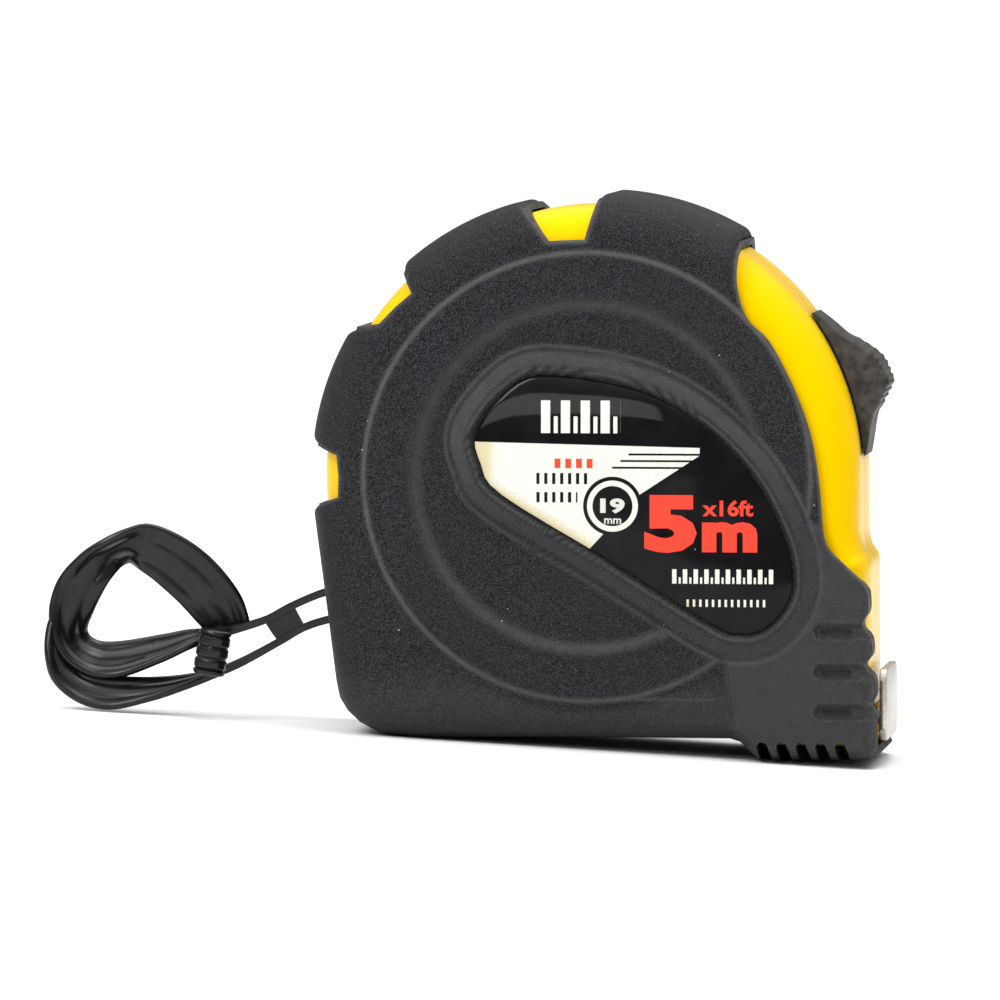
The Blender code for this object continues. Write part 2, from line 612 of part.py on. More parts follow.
def make_blade():
    """The straight end of the blade, level with the ground, and its two rivets."""
    front = PLATE_X - CLEARANCE
    steps = 12
    rings = []
    for i in range(steps + 1):
        x = COIL_X + (front - COIL_X) * i / steps
        t = min(max((x - HOLLOW_FROM) / (HOLLOW_TO - HOLLOW_FROM), 0.0), 1.0)
        share = t * t * (3 - 2 * t)
        rings.append(across(BLADE_HALF, -BLADE_THICK / 2, BLADE_THICK / 2, x, share, 8))
    bm = bmesh.new()
    loft(bm, rings)
    strip = add_object("blade_strip", bm, PAINTED, blade_line)
    middle = BLADE_LEVEL + hollow_height(0.0)
    bm = bmesh.new()
    for x in RIVET_SPOTS:
        turned(bm, [(0.0, middle - 0.003), (RIVET_RADIUS + CLEARANCE, middle - 0.003),
                    (RIVET_RADIUS + CLEARANCE, middle + 0.003), (0.0, middle + 0.003)],
               (x, 0.0), 14, upright=True)
    combine(strip, bm)
    under = middle - BLADE_THICK / 2 - CLEARANCE
    over = middle + BLADE_THICK / 2 + 2 * CLEARANCE + TONGUE_THICK
    for number, x in enumerate(RIVET_SPOTS, 1):
        profile = [(0.0, under - 0.00045), (0.0012, under - 0.00045), (0.0017, under - 0.0001)]
        profile += [(0.0017, under), (RIVET_RADIUS, under), (RIVET_RADIUS, over), (0.0017, over)]
        profile += [(0.0017, over + 0.0001), (0.0012, over + 0.00045), (0.0, over + 0.00045)]
        bm = bmesh.new()
        turned(bm, profile, (x, 0.0), 14, upright=True)
        add_object("hook_rivet_%d" % number, bm, STEEL, blade_line)


def make_hook():
    """An upright plate with a tongue that lies in the blade's hollow, slotted for its play."""
    outer_x = HOOK_INNER_X + HOOK_THICK
    half = HOOK_HALF_WIDTH
    corner = 0.0018
    face = [(-half + corner, HOOK_LOW_Z), (half - corner, HOOK_LOW_Z), (half, HOOK_LOW_Z + corner)]
    face += [(half, HOOK_HIGH_Z - corner), (half - corner, HOOK_HIGH_Z)]
    face += [(-half + corner, HOOK_HIGH_Z), (-half, HOOK_HIGH_Z - corner), (-half, HOOK_LOW_Z + corner)]
    rings = []
    for x in (HOOK_INNER_X, outer_x):
        ring = []
        for y, z in face:
            ground_x, ground_z = to_ground(x, z)
            ring.append((ground_x, y, ground_z))
        rings.append(ring)
    bm = bmesh.new()
    loft(bm, rings)
    hook = add_object("end_hook", bm, STEEL, hook_line)
    low = BLADE_THICK / 2 + CLEARANCE
    front = to_ground(HOOK_INNER_X + HOOK_THICK / 2, MOUTH_TOP)[0]
    bm = bmesh.new()
    rings = []
    for i in range(4):
        x = TONGUE_BACK + (front - TONGUE_BACK) * i / 3
        rings.append(across(TONGUE_HALF, low, low + TONGUE_THICK, x, 1.0, 6))
    loft(bm, rings)
    combine(hook, bm, "UNION")
    bm = bmesh.new()
    wide = RIVET_RADIUS + CLEARANCE
    for x in RIVET_SPOTS:
        middle = BLADE_LEVEL + hollow_height(0.0)
        outline = []
        for i in range(13):
            outline.append(polar(wide, -90.0 + 15.0 * i, (x, 0.0)))
        for i in range(13):
            outline.append(polar(wide, 90.0 + 15.0 * i, (x - HOOK_PLAY, 0.0)))
        loft(bm, [[(px, py, z) for px, py in outline] for z in (middle - 0.001, middle + 0.004)])
    combine(hook, bm)


# ---- thumb lock ----
BUTTON_HALF = 0.0055
BUTTON_PROFILE = ((3.8, 0.0007), (9.3, 0.0016), (12.1, 0.0023), (12.9, 0.0028), (15.9, 0.0045),
                  (17.3, 0.0052), (21.4, 0.0052), (23.5, 0.0048), (27.0, 0.0032), (28.8, 0.0022),
                  (36.5, 0.0006))
ARM_OUTER = CAVITY_RADIUS - 0.0006
ARM_THICK = 0.0016
PAD_LOW = 0.0122 * SIZE
PAD_TALL = 0.0022


def make_lock():
    """Button outside, arm inside and the rubber pad that the arm carries to the blade."""
    inner = SHELL_RADIUS + CLEARANCE
    steps = 8
    first, last = BUTTON_PROFILE[0][0], BUTTON_PROFILE[-1][0]
    outline = [polar(inner, last + (first - last) * i / steps) for i in range(steps + 1)]
    outline += [polar(SHELL_RADIUS + height, turn) for turn, height in BUTTON_PROFILE]
    bm = bmesh.new()
    prism(bm, outline, -BUTTON_HALF, BUTTON_HALF)
    button = add_object("lock_button", bm, BLACK, lock_pivot)
    bm = bmesh.new()
    sector(bm, ARM_OUTER + CLEARANCE, inner + 0.0004, NECK_FROM, NECK_TO, -NECK_HALF, NECK_HALF, 4)
    combine(button, bm, "UNION")
    arm_inner = ARM_OUTER - ARM_THICK
    arm_low = PAD_LOW + PAD_TALL + CLEARANCE
    steps = 8
    turns = [NECK_TO + 1.0 - (NECK_TO + 1.0) * i / steps for i in range(steps + 1)]
    outline = [polar(ARM_OUTER, turn) for turn in turns] + [(ARM_OUTER, arm_low), (arm_inner, arm_low)]
    outline += [polar(arm_inner, turn) for turn in reversed(turns)]
    bm = bmesh.new()
    prism(bm, outline, -NECK_HALF, NECK_HALF)
    add_object("brake_arm", bm, BLACK, lock_pivot)
    bm = bmesh.new()
    box(bm, (arm_inner - 0.0002, -0.0045, PAD_LOW), (ARM_OUTER + 0.0002, 0.0045, PAD_LOW + PAD_TALL))
    add_object("brake_pad", bm, RUBBER, lock_pivot)


# ---- wrist strap ----
# Each point: middle of the ribbon (x, y, z), then half of its width as a vector.
UPPER_BAND = ((-0.0274, 0.0000, 0.0212, 0.0000, 0.0007, 0.0000),
              (-0.0310, 0.0000, 0.0209, 0.0000, 0.0007, 0.0000),
              (-0.0349, 0.0000, 0.0202, 0.0000, 0.0007, 0.0000),
              (-0.0390, 0.0000, 0.0185, 0.0000, 0.0007, 0.0000),
              (-0.0424, 0.0000, 0.0167, 0.0000, 0.0007, 0.0000),
              (-0.0465, 0.0000, 0.0154, 0.0000, 0.0008, 0.0001),
              (-0.0496, 0.0000, 0.0147, 0.0000, 0.0011, 0.0004),
              (-0.0525, 0.0003, 0.0140, 0.0000, 0.0019, 0.0010),
              (-0.0560, 0.0008, 0.0128, 0.0002, 0.0024, 0.0016),
              (-0.0613, 0.0012, 0.0114, 0.0001, 0.0024, 0.0021),
              (-0.0650, 0.0012, 0.0116, 0.0005, 0.0026, 0.0019),
              (-0.0675, 0.0010, 0.0138, 0.0015, 0.0026, 0.0011),
              (-0.0675, 0.0006, 0.0175, 0.0027, 0.0016, 0.0002),
              (-0.0661, 0.0006, 0.0212, 0.0031, 0.0010, -0.0003),
              (-0.0641, 0.0008, 0.0237, 0.0024, 0.0018, -0.0008),
              (-0.0623, 0.0010, 0.0250, 0.0014, 0.0026, -0.0014),
              (-0.0603, 0.0010, 0.0258, 0.0002, 0.0022, -0.0022),
              (-0.0580, 0.0008, 0.0257, -0.0006, 0.0008, -0.0031),
              (-0.0551, 0.0009, 0.0243, -0.0018, 0.0003, -0.0029),
              (-0.0516, 0.0014, 0.0214, -0.0023, 0.0000, -0.0027),
              (-0.0487, 0.0021, 0.0178, -0.0028, 0.0004, -0.0019),
              (-0.0472, 0.0026, 0.0148, -0.0026, 0.0006, -0.0008))
LOWER_BAND = ((-0.0266, 0.0000, 0.0178, 0.0000, 0.0007, 0.0000),
              (-0.0305, 0.0000, 0.0174, 0.0000, 0.0007, 0.0000),
              (-0.0342, 0.0000, 0.0168, 0.0000, 0.0007, 0.0000),
              (-0.0376, 0.0000, 0.0157, 0.0000, 0.0007, 0.0000),
              (-0.0409, 0.0000, 0.0138, 0.0000, 0.0007, 0.0000),
              (-0.0455, 0.0000, 0.0113, 0.0000, 0.0008, 0.0001),
              (-0.0493, 0.0000, 0.0097, 0.0000, 0.0011, 0.0002),
              (-0.0530, -0.0004, 0.0086, 0.0000, 0.0020, 0.0006),
              (-0.0568, -0.0010, 0.0078, 0.0001, 0.0022, 0.0012),
              (-0.0618, -0.0014, 0.0073, 0.0002, 0.0018, 0.0019),
              (-0.0654, -0.0015, 0.0080, 0.0007, 0.0016, 0.0018),
              (-0.0680, -0.0013, 0.0100, 0.0013, 0.0018, 0.0012),
              (-0.0691, -0.0008, 0.0126, 0.0012, 0.0020, 0.0005),
              (-0.0690, 0.0001, 0.0156, 0.0013, 0.0016, 0.0001),
              (-0.0681, 0.0006, 0.0180, 0.0014, 0.0010, 0.0000))
WEB_CORNERS = ((-0.0424, 0.0166), (-0.0390, 0.0186), (-0.0376, 0.0156), (-0.0409, 0.0138))
TOGGLE_SPOT = (-0.0489, -0.0036, 0.0127)
TOGGLE_LEAN = math.radians(10.0)
TOGGLE_PROFILE = ((0.0, -0.0029), (0.0017, -0.0029), (0.0020, -0.0026), (0.0020, -0.0013),
                  (0.0021, -0.0011), (0.0021, 0.0011), (0.0020, 0.0013), (0.0020, 0.0026),
                  (0.0017, 0.0029), (0.0, 0.0029))


def smooth_path(keys, steps):
    """Points on a Catmull-Rom curve through the keys, with every column carried along."""
    path = []
    last = len(keys) - 1
    for i in range(last):
        rows = [keys[max(i - 1, 0)], keys[i], keys[i + 1], keys[min(i + 2, last)]]
        for j in range(steps + (i == last - 1)):
            t = j / steps
            point = []
            for a, b, c, d in zip(*rows):
                bend = (2 * a - 5 * b + 4 * c - d) * t * t + (3 * b - a - 3 * c + d) * t ** 3
                point.append(0.5 * (2 * b + (c - a) * t + bend))
            path.append(point)
    return path


def ribbon(bm, keys, thick):
    """A flat band along the keys."""
    path = smooth_path([(x * SIZE, y, z * SIZE, *half) for x, y, z, *half in keys], 2)
    rings = []
    for i, point in enumerate(path):
        along = Vector(path[min(i + 1, len(path) - 1)][:3]) - Vector(path[max(i - 1, 0)][:3])
        middle = Vector(point[:3])
        half = Vector(point[3:])
        normal = along.cross(half).normalized() * thick / 2
        rings.append([middle + half + normal, middle - half + normal,
                      middle - half - normal, middle + half - normal])
    loft(bm, rings)


def make_strap():
    """A moulded strap: an eye on the pin, a ladder of two rails, and a loop of flat band."""
    bm = bmesh.new()
    ribbon(bm, UPPER_BAND, STRAP_THICK)
    strap = add_object("wrist_strap", bm, PVC, strap_pivot)
    bm = bmesh.new()
    ribbon(bm, LOWER_BAND, STRAP_THICK)
    combine(strap, bm, "UNION")
    bm = bmesh.new()
    prism(bm, [(x * SIZE, z * SIZE) for x, z in WEB_CORNERS], -STRAP_THICK / 2, STRAP_THICK / 2)
    combine(strap, bm, "UNION")
    bm = bmesh.new()
    eye = STRAP_PIN_RADIUS + CLEARANCE
    half = STRAP_THICK / 2
    turned(bm, [(eye, -half), (LADDER_HALF, -half), (LADDER_HALF, half), (eye, half)],
           (STRAP_PIN_X, STRAP_PIN_Z), 20)
    combine(strap, bm, "UNION")
    bm = bmesh.new()
    turned(bm, TOGGLE_PROFILE, (0.0, 0.0), 16, upright=True)
    bmesh.ops.rotate(bm, verts=bm.verts, cent=(0, 0, 0), matrix=Matrix.Rotation(TOGGLE_LEAN, 3, "Y"))
    x, y, z = TOGGLE_SPOT
    bmesh.ops.translate(bm, verts=bm.verts, vec=(x * SIZE, y, z * SIZE))
    add_object("strap_toggle", bm, PVC, strap_pivot)


CORD_PIECES = ("wrist_strap", "strap_toggle")


def centre_on_origin():
    """Put the middle of the tape, without its strap, over the origin."""
    bpy.context.view_layer.update()
    depsgraph = bpy.context.evaluated_depsgraph_get()
    corners = []
    for obj in bpy.data.objects:
        if obj.type != "MESH" or obj.hide_render or obj.name in CORD_PIECES:
            continue
        solid = obj.evaluated_get(depsgraph)
        corners += [solid.matrix_world @ vert.co for vert in solid.data.vertices]
    low = [min(corner[axis] for corner in corners) for axis in range(3)]
    high = [max(corner[axis] for corner in corners) for axis in range(3)]
    ground_frame.location = (-(low[0] + high[0]) / 2, -(low[1] + high[1]) / 2, -low[2])
    bpy.context.view_layer.update()


make_shells()
make_jackets()
make_label()
make_fixed_hardware()
make_belt_clip()
make_drum()
make_blade()
make_hook()
make_lock()
make_strap()
centre_on_origin()
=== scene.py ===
"""Looks of a pocket tape measure: yellow shell, charcoal rubber jackets, label, lock, hook and strap."""
import json
import math

import bmesh
import bpy
import numpy as np
from mathutils import Matrix, Vector


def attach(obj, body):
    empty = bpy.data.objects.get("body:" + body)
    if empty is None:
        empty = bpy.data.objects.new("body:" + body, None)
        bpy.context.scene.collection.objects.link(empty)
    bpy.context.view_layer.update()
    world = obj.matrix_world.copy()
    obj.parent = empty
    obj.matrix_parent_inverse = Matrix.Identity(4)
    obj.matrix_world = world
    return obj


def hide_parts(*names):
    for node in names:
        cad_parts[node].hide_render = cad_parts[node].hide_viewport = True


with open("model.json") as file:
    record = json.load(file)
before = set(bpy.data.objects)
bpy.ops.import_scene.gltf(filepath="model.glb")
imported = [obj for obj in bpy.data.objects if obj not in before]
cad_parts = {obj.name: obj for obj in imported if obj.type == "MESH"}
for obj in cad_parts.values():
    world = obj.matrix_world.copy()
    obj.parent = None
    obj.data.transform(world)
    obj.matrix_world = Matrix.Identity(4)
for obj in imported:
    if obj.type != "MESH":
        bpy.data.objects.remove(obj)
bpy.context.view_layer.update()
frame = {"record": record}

# ---- places taken from the frame ----
JOINTS = {joint["name"]: joint for joint in frame["record"]["behaviour"]["joints"]}
CROWN_RADIUS = 0.0355
CROWN_Z = 0.0358
STRAP_PIN = (-0.0270, 0.0195)
MM = 0.001
PER_METRE = 1000.0


def body_matrix():
    """The tape's own axes in the frame, from the lock's pivot and the strap's pin."""
    pivot = Vector(JOINTS["lock_slide"]["pos_m"])
    pin = Vector(JOINTS["strap_swing"]["pos_m"])
    own = math.atan2(STRAP_PIN[1] - CROWN_Z, STRAP_PIN[0])
    seen = math.atan2(pin.z - pivot.z, pin.x - pivot.x)
    turn = Matrix.Rotation(-(seen - own), 4, "Y")
    return Matrix.Translation(pivot) @ turn @ Matrix.Translation((0.0, 0.0, -CROWN_Z))


BODY = body_matrix()
PITCH = BODY.to_euler().y

# ---- camera ----
VIEW_TURN = math.radians(6.0)
VIEW_RISE = math.radians(2.9)
VIEW_DISTANCE = 1.5
VIEW_AIM = (-0.01257, 0.0, 0.03204)
VIEW_LENS = 426.0


def add_camera():
    """A long lens on the label side, level with the tape's own base."""
    camera = bpy.data.objects.new("camera", bpy.data.cameras.new("camera"))
    bpy.context.scene.collection.objects.link(camera)
    aim = Vector(VIEW_AIM)
    back = Vector((math.sin(VIEW_TURN) * math.cos(VIEW_RISE),
                   -math.cos(VIEW_TURN) * math.cos(VIEW_RISE), math.sin(VIEW_RISE)))
    right = Vector((0, 0, 1)).cross(back).normalized()
    up = back.cross(right)
    own = Matrix((right, up, back)).transposed().to_4x4()
    own.translation = aim + back * VIEW_DISTANCE
    camera.matrix_world = BODY @ own
    camera.data.lens = VIEW_LENS
    camera.data.sensor_width = 36.0
    camera.data.clip_start = 0.01
    camera.data.clip_end = 20.0
    bpy.context.scene.camera = camera


add_camera()


# ---- shader maths ----
def plug(tree, place, value):
    """Link a wire to a socket, or set a number, or a colour given as three numbers."""
    if isinstance(value, Wire):
        tree.links.new(value.socket, place)
    elif isinstance(value, tuple) and place.type == "RGBA":
        place.default_value = (*value, 1.0)
    else:
        place.default_value = value


def worked(tree, operation, *values):
    """The wire that comes out of a maths node."""
    node = tree.nodes.new("ShaderNodeMath")
    node.operation = operation
    for place, value in zip(node.inputs, values):
        plug(tree, place, value)
    return Wire(tree, node.outputs[0])


class Wire:
    """A socket that takes part in written sums."""

    def __init__(self, tree, socket):
        self.tree = tree
        self.socket = socket

    def math(self, operation, *others):
        return worked(self.tree, operation, self, *others)

    def __add__(self, other):
        return self.math("ADD", other)

    __radd__ = __add__

    def __sub__(self, other):
        return self.math("SUBTRACT", other)

    def __rsub__(self, other):
        return worked(self.tree, "SUBTRACT", other, self)

    def __mul__(self, other):
        return self.math("MULTIPLY", other)

    __rmul__ = __mul__

    def __truediv__(self, other):
        return self.math("DIVIDE", other)

    def __pow__(self, other):
        return self.math("POWER", other)

    def least(self, other):
        return self.math("MINIMUM", other)

    def most(self, other):
        return self.math("MAXIMUM", other)

    def ramp(self, low, high):
        """0 at low, 1 at high, held between, and eased at both ends."""
        node = self.tree.nodes.new("ShaderNodeMapRange")
        node.interpolation_type = "SMOOTHSTEP"
        node.inputs["From Min"].default_value = low
        node.inputs["From Max"].default_value = high
        self.tree.links.new(self.socket, node.inputs["Value"])
        return Wire(self.tree, node.outputs["Result"])


class Finish:
    """A material whose Principled shader is wired by plain expressions."""

    def __init__(self, name, **constants):
        self.material = bpy.data.materials.new(name)
        self.material.use_nodes = True
        self.tree = self.material.node_tree
        self.shader = self.tree.nodes["Principled BSDF"]
        for socket, value in constants.items():
            self.shader.inputs[socket.replace("_", " ")].default_value = value

    def node(self, kind, settings=None, output=0, **values):
        """Any node: its settings first, then its sockets' values or links."""
        node = self.tree.nodes.new(kind)
        for key, value in (settings or {}).items():
            setattr(node, key, value)
        for key, value in values.items():
            plug(self.tree, node.inputs[key.replace("_", " ")], value)
        return Wire(self.tree, node.outputs[output])

    def place(self):
        """Position on the piece, in metres."""
        return self.node("ShaderNodeTexCoord", output="Object")

    def parts(self, vector):
        """The three numbers of a vector."""
        split = self.node("ShaderNodeSeparateXYZ", Vector=vector)
        sockets = split.socket.node.outputs
        return [Wire(self.tree, sockets[axis]) for axis in "XYZ"]

    def noise(self, scale, detail=2.0, roughness=0.5, vector=None):
        return self.node("ShaderNodeTexNoise", Vector=vector or self.place(), Scale=scale,
                         Detail=detail, Roughness=roughness)

    def specks(self, scale, radius):
        """1 in small round spots around scattered points, else 0."""
        cell = self.node("ShaderNodeTexVoronoi", {"feature": "F1"}, output="Distance",
                         Vector=self.place(), Scale=scale)
        return 1.0 - cell.ramp(radius * 0.6, radius)

    def mix(self, share, first, second):
        """A colour between two colours."""
        node = self.tree.nodes.new("ShaderNodeMix")
        node.data_type = "RGBA"
        for place, value in ((node.inputs[0], share), (node.inputs[6], first), (node.inputs[7], second)):
            plug(self.tree, place, value)
        return Wire(self.tree, node.outputs[2])

    def drive(self, socket, wire):
        self.tree.links.new(wire.socket, self.shader.inputs[socket])

    def relief(self, height, distance, strength=1.0):
        """A Bump node on the shader's Normal."""
        self.drive("Normal", self.node("ShaderNodeBump", Height=height, Distance=distance, Strength=strength))


# ---- finishes ----
def sandy_rubber(name):
    """Charcoal rubber: a fine sand face, dust caught in it, paler rubbed edges, and painted light on the
    label's rim, the mouth block and the lower band.
    """
    made = Finish(name, Roughness=0.5, Specular_IOR_Level=0.11)
    sand = made.noise(8200.0, 1.0, 0.7)
    cloud = made.noise(90.0, 3.0, 0.55)
    base = made.mix(sand.ramp(0.44, 0.64), (0.0015, 0.0016, 0.0022), (0.0440, 0.0445, 0.0510))
    tone = made.mix(cloud.ramp(0.35, 0.7) * 0.3, base, (0.018, 0.018, 0.019))
    rub = made.node("ShaderNodeAttribute", {"attribute_name": "rub"}, output="Fac")
    # Mixed towards pale grey by the per-point mask: rubbed edges, plus painted light on the label's rim, the
    # mouth block and the lower band.
    worn_and_lit = made.mix((rub * (0.45 + 0.55 * made.noise(700.0, 2.0)) * 0.75).least(1.0), tone,
                    (0.150, 0.147, 0.142))
    dust = made.specks(420.0, 0.055) * made.noise(130.0, 1.0).ramp(0.52, 0.6)
    made.drive("Base Color", made.mix(dust * 0.8, worn_and_lit, (0.42, 0.40, 0.33)))
    made.drive("Roughness", 0.44 + 0.2 * sand)
    grain = sand + 0.5 * made.noise(2300.0, 2.0)
    made.relief(grain, 0.00013, 0.8)
    return made.material


def gloss_yellow(name):
    """Glossy moulded yellow plastic with a faint ripple and a little grime."""
    made = Finish(name, Roughness=0.25, Coat_Roughness=0.08, Specular_IOR_Level=0.05,
                  Specular_Tint=(1.0, 0.80, 0.22, 1.0))
    cloud = made.noise(60.0, 3.0)
    made.drive("Base Color", made.mix(cloud.ramp(0.3, 0.75) * 0.5, (0.80, 0.50, 0.0), (0.77, 0.455, 0.0)))
    made.drive("Roughness", 0.17 + 0.14 * made.noise(420.0, 2.0))
    made.drive("Coat Weight", 0.03 * cloud)
    made.relief(made.noise(240.0, 2.0), 0.00002, 0.35)
    return made.material


def moulded(name, dark, light, scale, rough, depth):
    """A plain moulded plastic with grain."""
    made = Finish(name, Roughness=rough, Specular_IOR_Level=0.32)
    grain = made.noise(scale, 3.0, 0.6)
    made.drive("Base Color", made.mix(grain.ramp(0.3, 0.75), dark, light))
    made.drive("Roughness", rough - 0.08 + 0.18 * made.noise(scale * 0.4, 2.0))
    made.relief(grain, depth, 0.6)
    return made.material


def bare_metal(name, dark, light, rough, grime):
    """Plated or blued steel with fine brushing, spots and grime."""
    made = Finish(name, Metallic=1.0)
    x, y, z = made.parts(made.place())
    stretched = made.node("ShaderNodeCombineXYZ", X=x * 0.15, Y=y, Z=z)
    brush = made.noise(2600.0, 2.0, 0.6, stretched)
    cloud = made.noise(260.0, 3.0)
    base = made.mix(brush.ramp(0.3, 0.75), dark, light)
    dirt = made.noise(900.0, 3.0).ramp(0.55, 0.75) * grime
    made.drive("Base Color", made.mix(dirt, base, (0.20, 0.16, 0.11)))
    made.drive("Roughness", rough + 0.16 * cloud + 0.1 * brush)
    made.drive("Metallic", 1.0 - dirt * 0.6)
    made.relief(brush, 0.000015, 0.5)
    return made.material


RUBBER = sandy_rubber("charcoal_sand_rubber")
YELLOW = gloss_yellow("gloss_yellow_shell")
NYLON = moulded("grained_black_nylon", (0.012, 0.012, 0.013), (0.034, 0.033, 0.033), 2400.0, 0.5, 0.00006)
DUSTY = moulded("dusty_black_nylon", (0.006, 0.006, 0.006), (0.050, 0.044, 0.036), 620.0, 0.55, 0.0002)
PVC = moulded("soft_black_pvc", (0.0030, 0.0032, 0.0045), (0.008, 0.0085, 0.011), 500.0, 0.24, 0.00001)
POM = moulded("white_drum_plastic", (0.74, 0.74, 0.70), (0.84, 0.84, 0.80), 300.0, 0.42, 0.00001)
PLATED = bare_metal("zinc_plate", (0.50, 0.48, 0.44), (0.66, 0.64, 0.59), 0.24, 0.3)
BLUED = bare_metal("blued_spring_steel", (0.16, 0.165, 0.18), (0.33, 0.34, 0.37), 0.26, 0.25)


# ---- outlines, in millimetres and the tape's own axes ----
def polar(radius, degrees):
    """A point on a circle about the middle of the crown's arc."""
    turn = math.radians(degrees)
    return radius * math.cos(turn), CROWN_Z / MM + radius * math.sin(turn)


CROWN = CROWN_RADIUS / MM
CENTRE_Z = CROWN_Z / MM
STANCE = math.tan(abs(PITCH))
HEEL_X = 21.7
FRONT_X = 36.9
CROWN_SWEEP = 188.0
ROUND_DEPTH = 7.0
ROUND_INSET = 5.5


def body_outline(reach):
    """The jacket's outline as (x, z, rounding share, mitre x, mitre z), no edge over reach."""
    def stance_z(x):
        return (HEEL_X - x) * STANCE
    rear = polar(CROWN, CROWN_SWEEP)
    corners = [(-25.8, stance_z(-25.8), 0.8), (-20.8, stance_z(-20.8), 0.7), (0.0, 2.65, 0.55)]
    corners += [(17.6, 2.65, 0.4), (18.9, 2.25, 0.38), (20.3, 0.85, 0.35), (21.2, 0.15, 0.32)]
    corners += [(22.4, 0.0, 0.3), (FRONT_X, 0.0, 0.36), (FRONT_X, 4.0, 0.45), (FRONT_X, 24.6, 0.48)]
    corners += [(36.6, 25.9, 0.45), (35.8, 27.1, 0.55), (CROWN, 28.6, 0.65), (CROWN, CENTRE_Z, 1.0)]
    steps = 190
    corners += [(*polar(CROWN, CROWN_SWEEP * i / steps), 1.0) for i in range(1, steps + 1)]
    corners += [(0.5 * (rear[0] - 32.1), 0.5 * (rear[1] + 8.0), 1.0), (-32.35, 9.6, 0.85)]
    corners += [(-31.9, 7.5, 0.8), (-30.9, 5.85, 0.8), (-29.3, 4.35, 0.8), (-27.6, 3.45, 0.8)]
    points = []
    count = len(corners)
    mitres = []
    for i in range(count):
        here = np.array(corners[i][:2])
        before = here - corners[i - 1][:2]
        after = np.array(corners[(i + 1) % count][:2]) - here
        before /= np.linalg.norm(before)
        after /= np.linalg.norm(after)
        one = np.array((-before[1], before[0]))
        two = np.array((-after[1], after[0]))
        mitres.append((one + two) / (1.0 + one.dot(two)))
    for i in range(count):
        j = (i + 1) % count
        start = np.array((*corners[i], *mitres[i]))
        end = np.array((*corners[j], *mitres[j]))
        finer = 0.55 if min(start[0], end[0]) > 30.0 and max(start[1], end[1]) < 27.0 else 1.0
        parts = max(1, math.ceil(np.linalg.norm((end - start)[:2]) / (reach * finer)))
        points += [start + (end - start) * k / parts for k in range(parts)]
    return np.array(points)


def catmull(corners, steps, closed):
    """A smooth row of points through the corners."""
    corners = np.array(corners, float)
    count = len(corners)
    points = []
    for i in range(count if closed else count - 1):
        if closed:
            a, b, c, d = (corners[(i + k) % count] for k in (-1, 0, 1, 2))
        else:
            a, b, c, d = (corners[min(max(i + k, 0), count - 1)] for k in (-1, 0, 1, 2))
        for j in range(steps):
            t = j / steps
            points.append(0.5 * (2 * b + (c - a) * t + (2 * a - 5 * b + 4 * c - d) * t * t
                                 + (3 * b - a - 3 * c + d) * t ** 3))
    if not closed:
        points.append(corners[-1])
    return np.array(points)


def distance_to(x, z, outline):
    """Signed distance to a closed outline: negative inside."""
    best = np.full(x.shape, 1e9)
    inside = np.zeros(x.shape, bool)
    for (ax, az), (bx, bz) in zip(outline, np.roll(outline, -1, axis=0)):
        dx, dz = bx - ax, bz - az
        t = np.clip(((x - ax) * dx + (z - az) * dz) / (dx * dx + dz * dz + 1e-12), 0.0, 1.0)
        best = np.minimum(best, np.hypot(x - ax - t * dx, z - az - t * dz))
        if az != bz:
            crossing = (az > z) != (bz > z)
            inside ^= crossing & (x < (bx - ax) * (z - az) / (bz - az) + ax)
    return np.where(inside, -best, best)


def ease(value):
    """0 below 0, 1 above 1, smooth between."""
    t = np.clip(value, 0.0, 1.0)
    return t * t * (3.0 - 2.0 * t)


LABEL = catmull([(-13.8, 41.7), (-8.8, 47.5), (-3.2, 48.4), (6.9, 46.5), (14.5, 42.3), (20.8, 36.0),
                 (24.6, 29.0), (25.9, 24.0), (25.3, 20.2), (22.7, 17.1), (19.6, 16.2), (15.8, 17.4),
                 (2.6, 25.5), (-10.7, 33.5), (-13.3, 37.3)], 8, True)
FRONT_EDGE = catmull([(19.6, 70.0), (18.9, 65.7), (18.7, 60.4), (20.0, 55.8), (22.9, 52.8), (26.1, 46.7),
                      (28.2, 40.7), (29.2, 34.6), (29.7, 28.9), (30.5, 26.8), (32.8, 24.5), (35.0, 22.2),
                      (35.4, 20.2), (35.3, 18.9), (34.8, 17.9), (34.9, 16.9), (35.7, 15.6), (35.8, 13.7),
                      (35.15, 12.7), (35.2, 11.8), (36.1, 10.7), (36.3, 8.7), (35.8, 7.7), (35.85, 7.0),
                      (36.5, 5.9), (36.8, 4.6), (36.85, 2.4), (36.5, 1.0), (35.6, 0.15), (34.6, -0.4)],
                     4, False)
FRONT_CUT = np.vstack([FRONT_EDGE, [(45.0, -0.4), (45.0, 70.0)]])
TOP_NOTCH = np.array([polar(29.7, 90.6), polar(29.75, 95.0), polar(29.9, 99.4), polar(36.0, 104.4),
                      polar(42.0, 106.5), polar(42.0, 85.5), polar(36.0, 87.8)])
HIGH_NOTCH = np.array([polar(31.9, 134.1), polar(32.2, 139.0), polar(32.5, 144.2), polar(36.0, 149.4),
                       polar(42.0, 152.0), polar(42.0, 130.0), polar(36.0, 132.3)])
REAR_NOTCH = np.array([(-31.7, 38.3), (-31.4, 35.6), (-31.5, 33.0), polar(36.0, 186.8),
                       polar(42.0, 189.0), polar(42.0, 171.0), polar(36.0, 173.4)])
BLOCK = np.array([(9.5, 18.6), (13.6, 15.9), (16.6, 13.7), (17.5, 12.0), (18.0, 7.0), (18.9, 1.5),
                  (20.0, -3.0), (45.0, -3.0), (45.0, 21.0), (30.6, 29.5), (27.0, 30.0), (20.0, 22.0)])
GROOVE_LEVELS = (16.6, 11.5, 6.45)


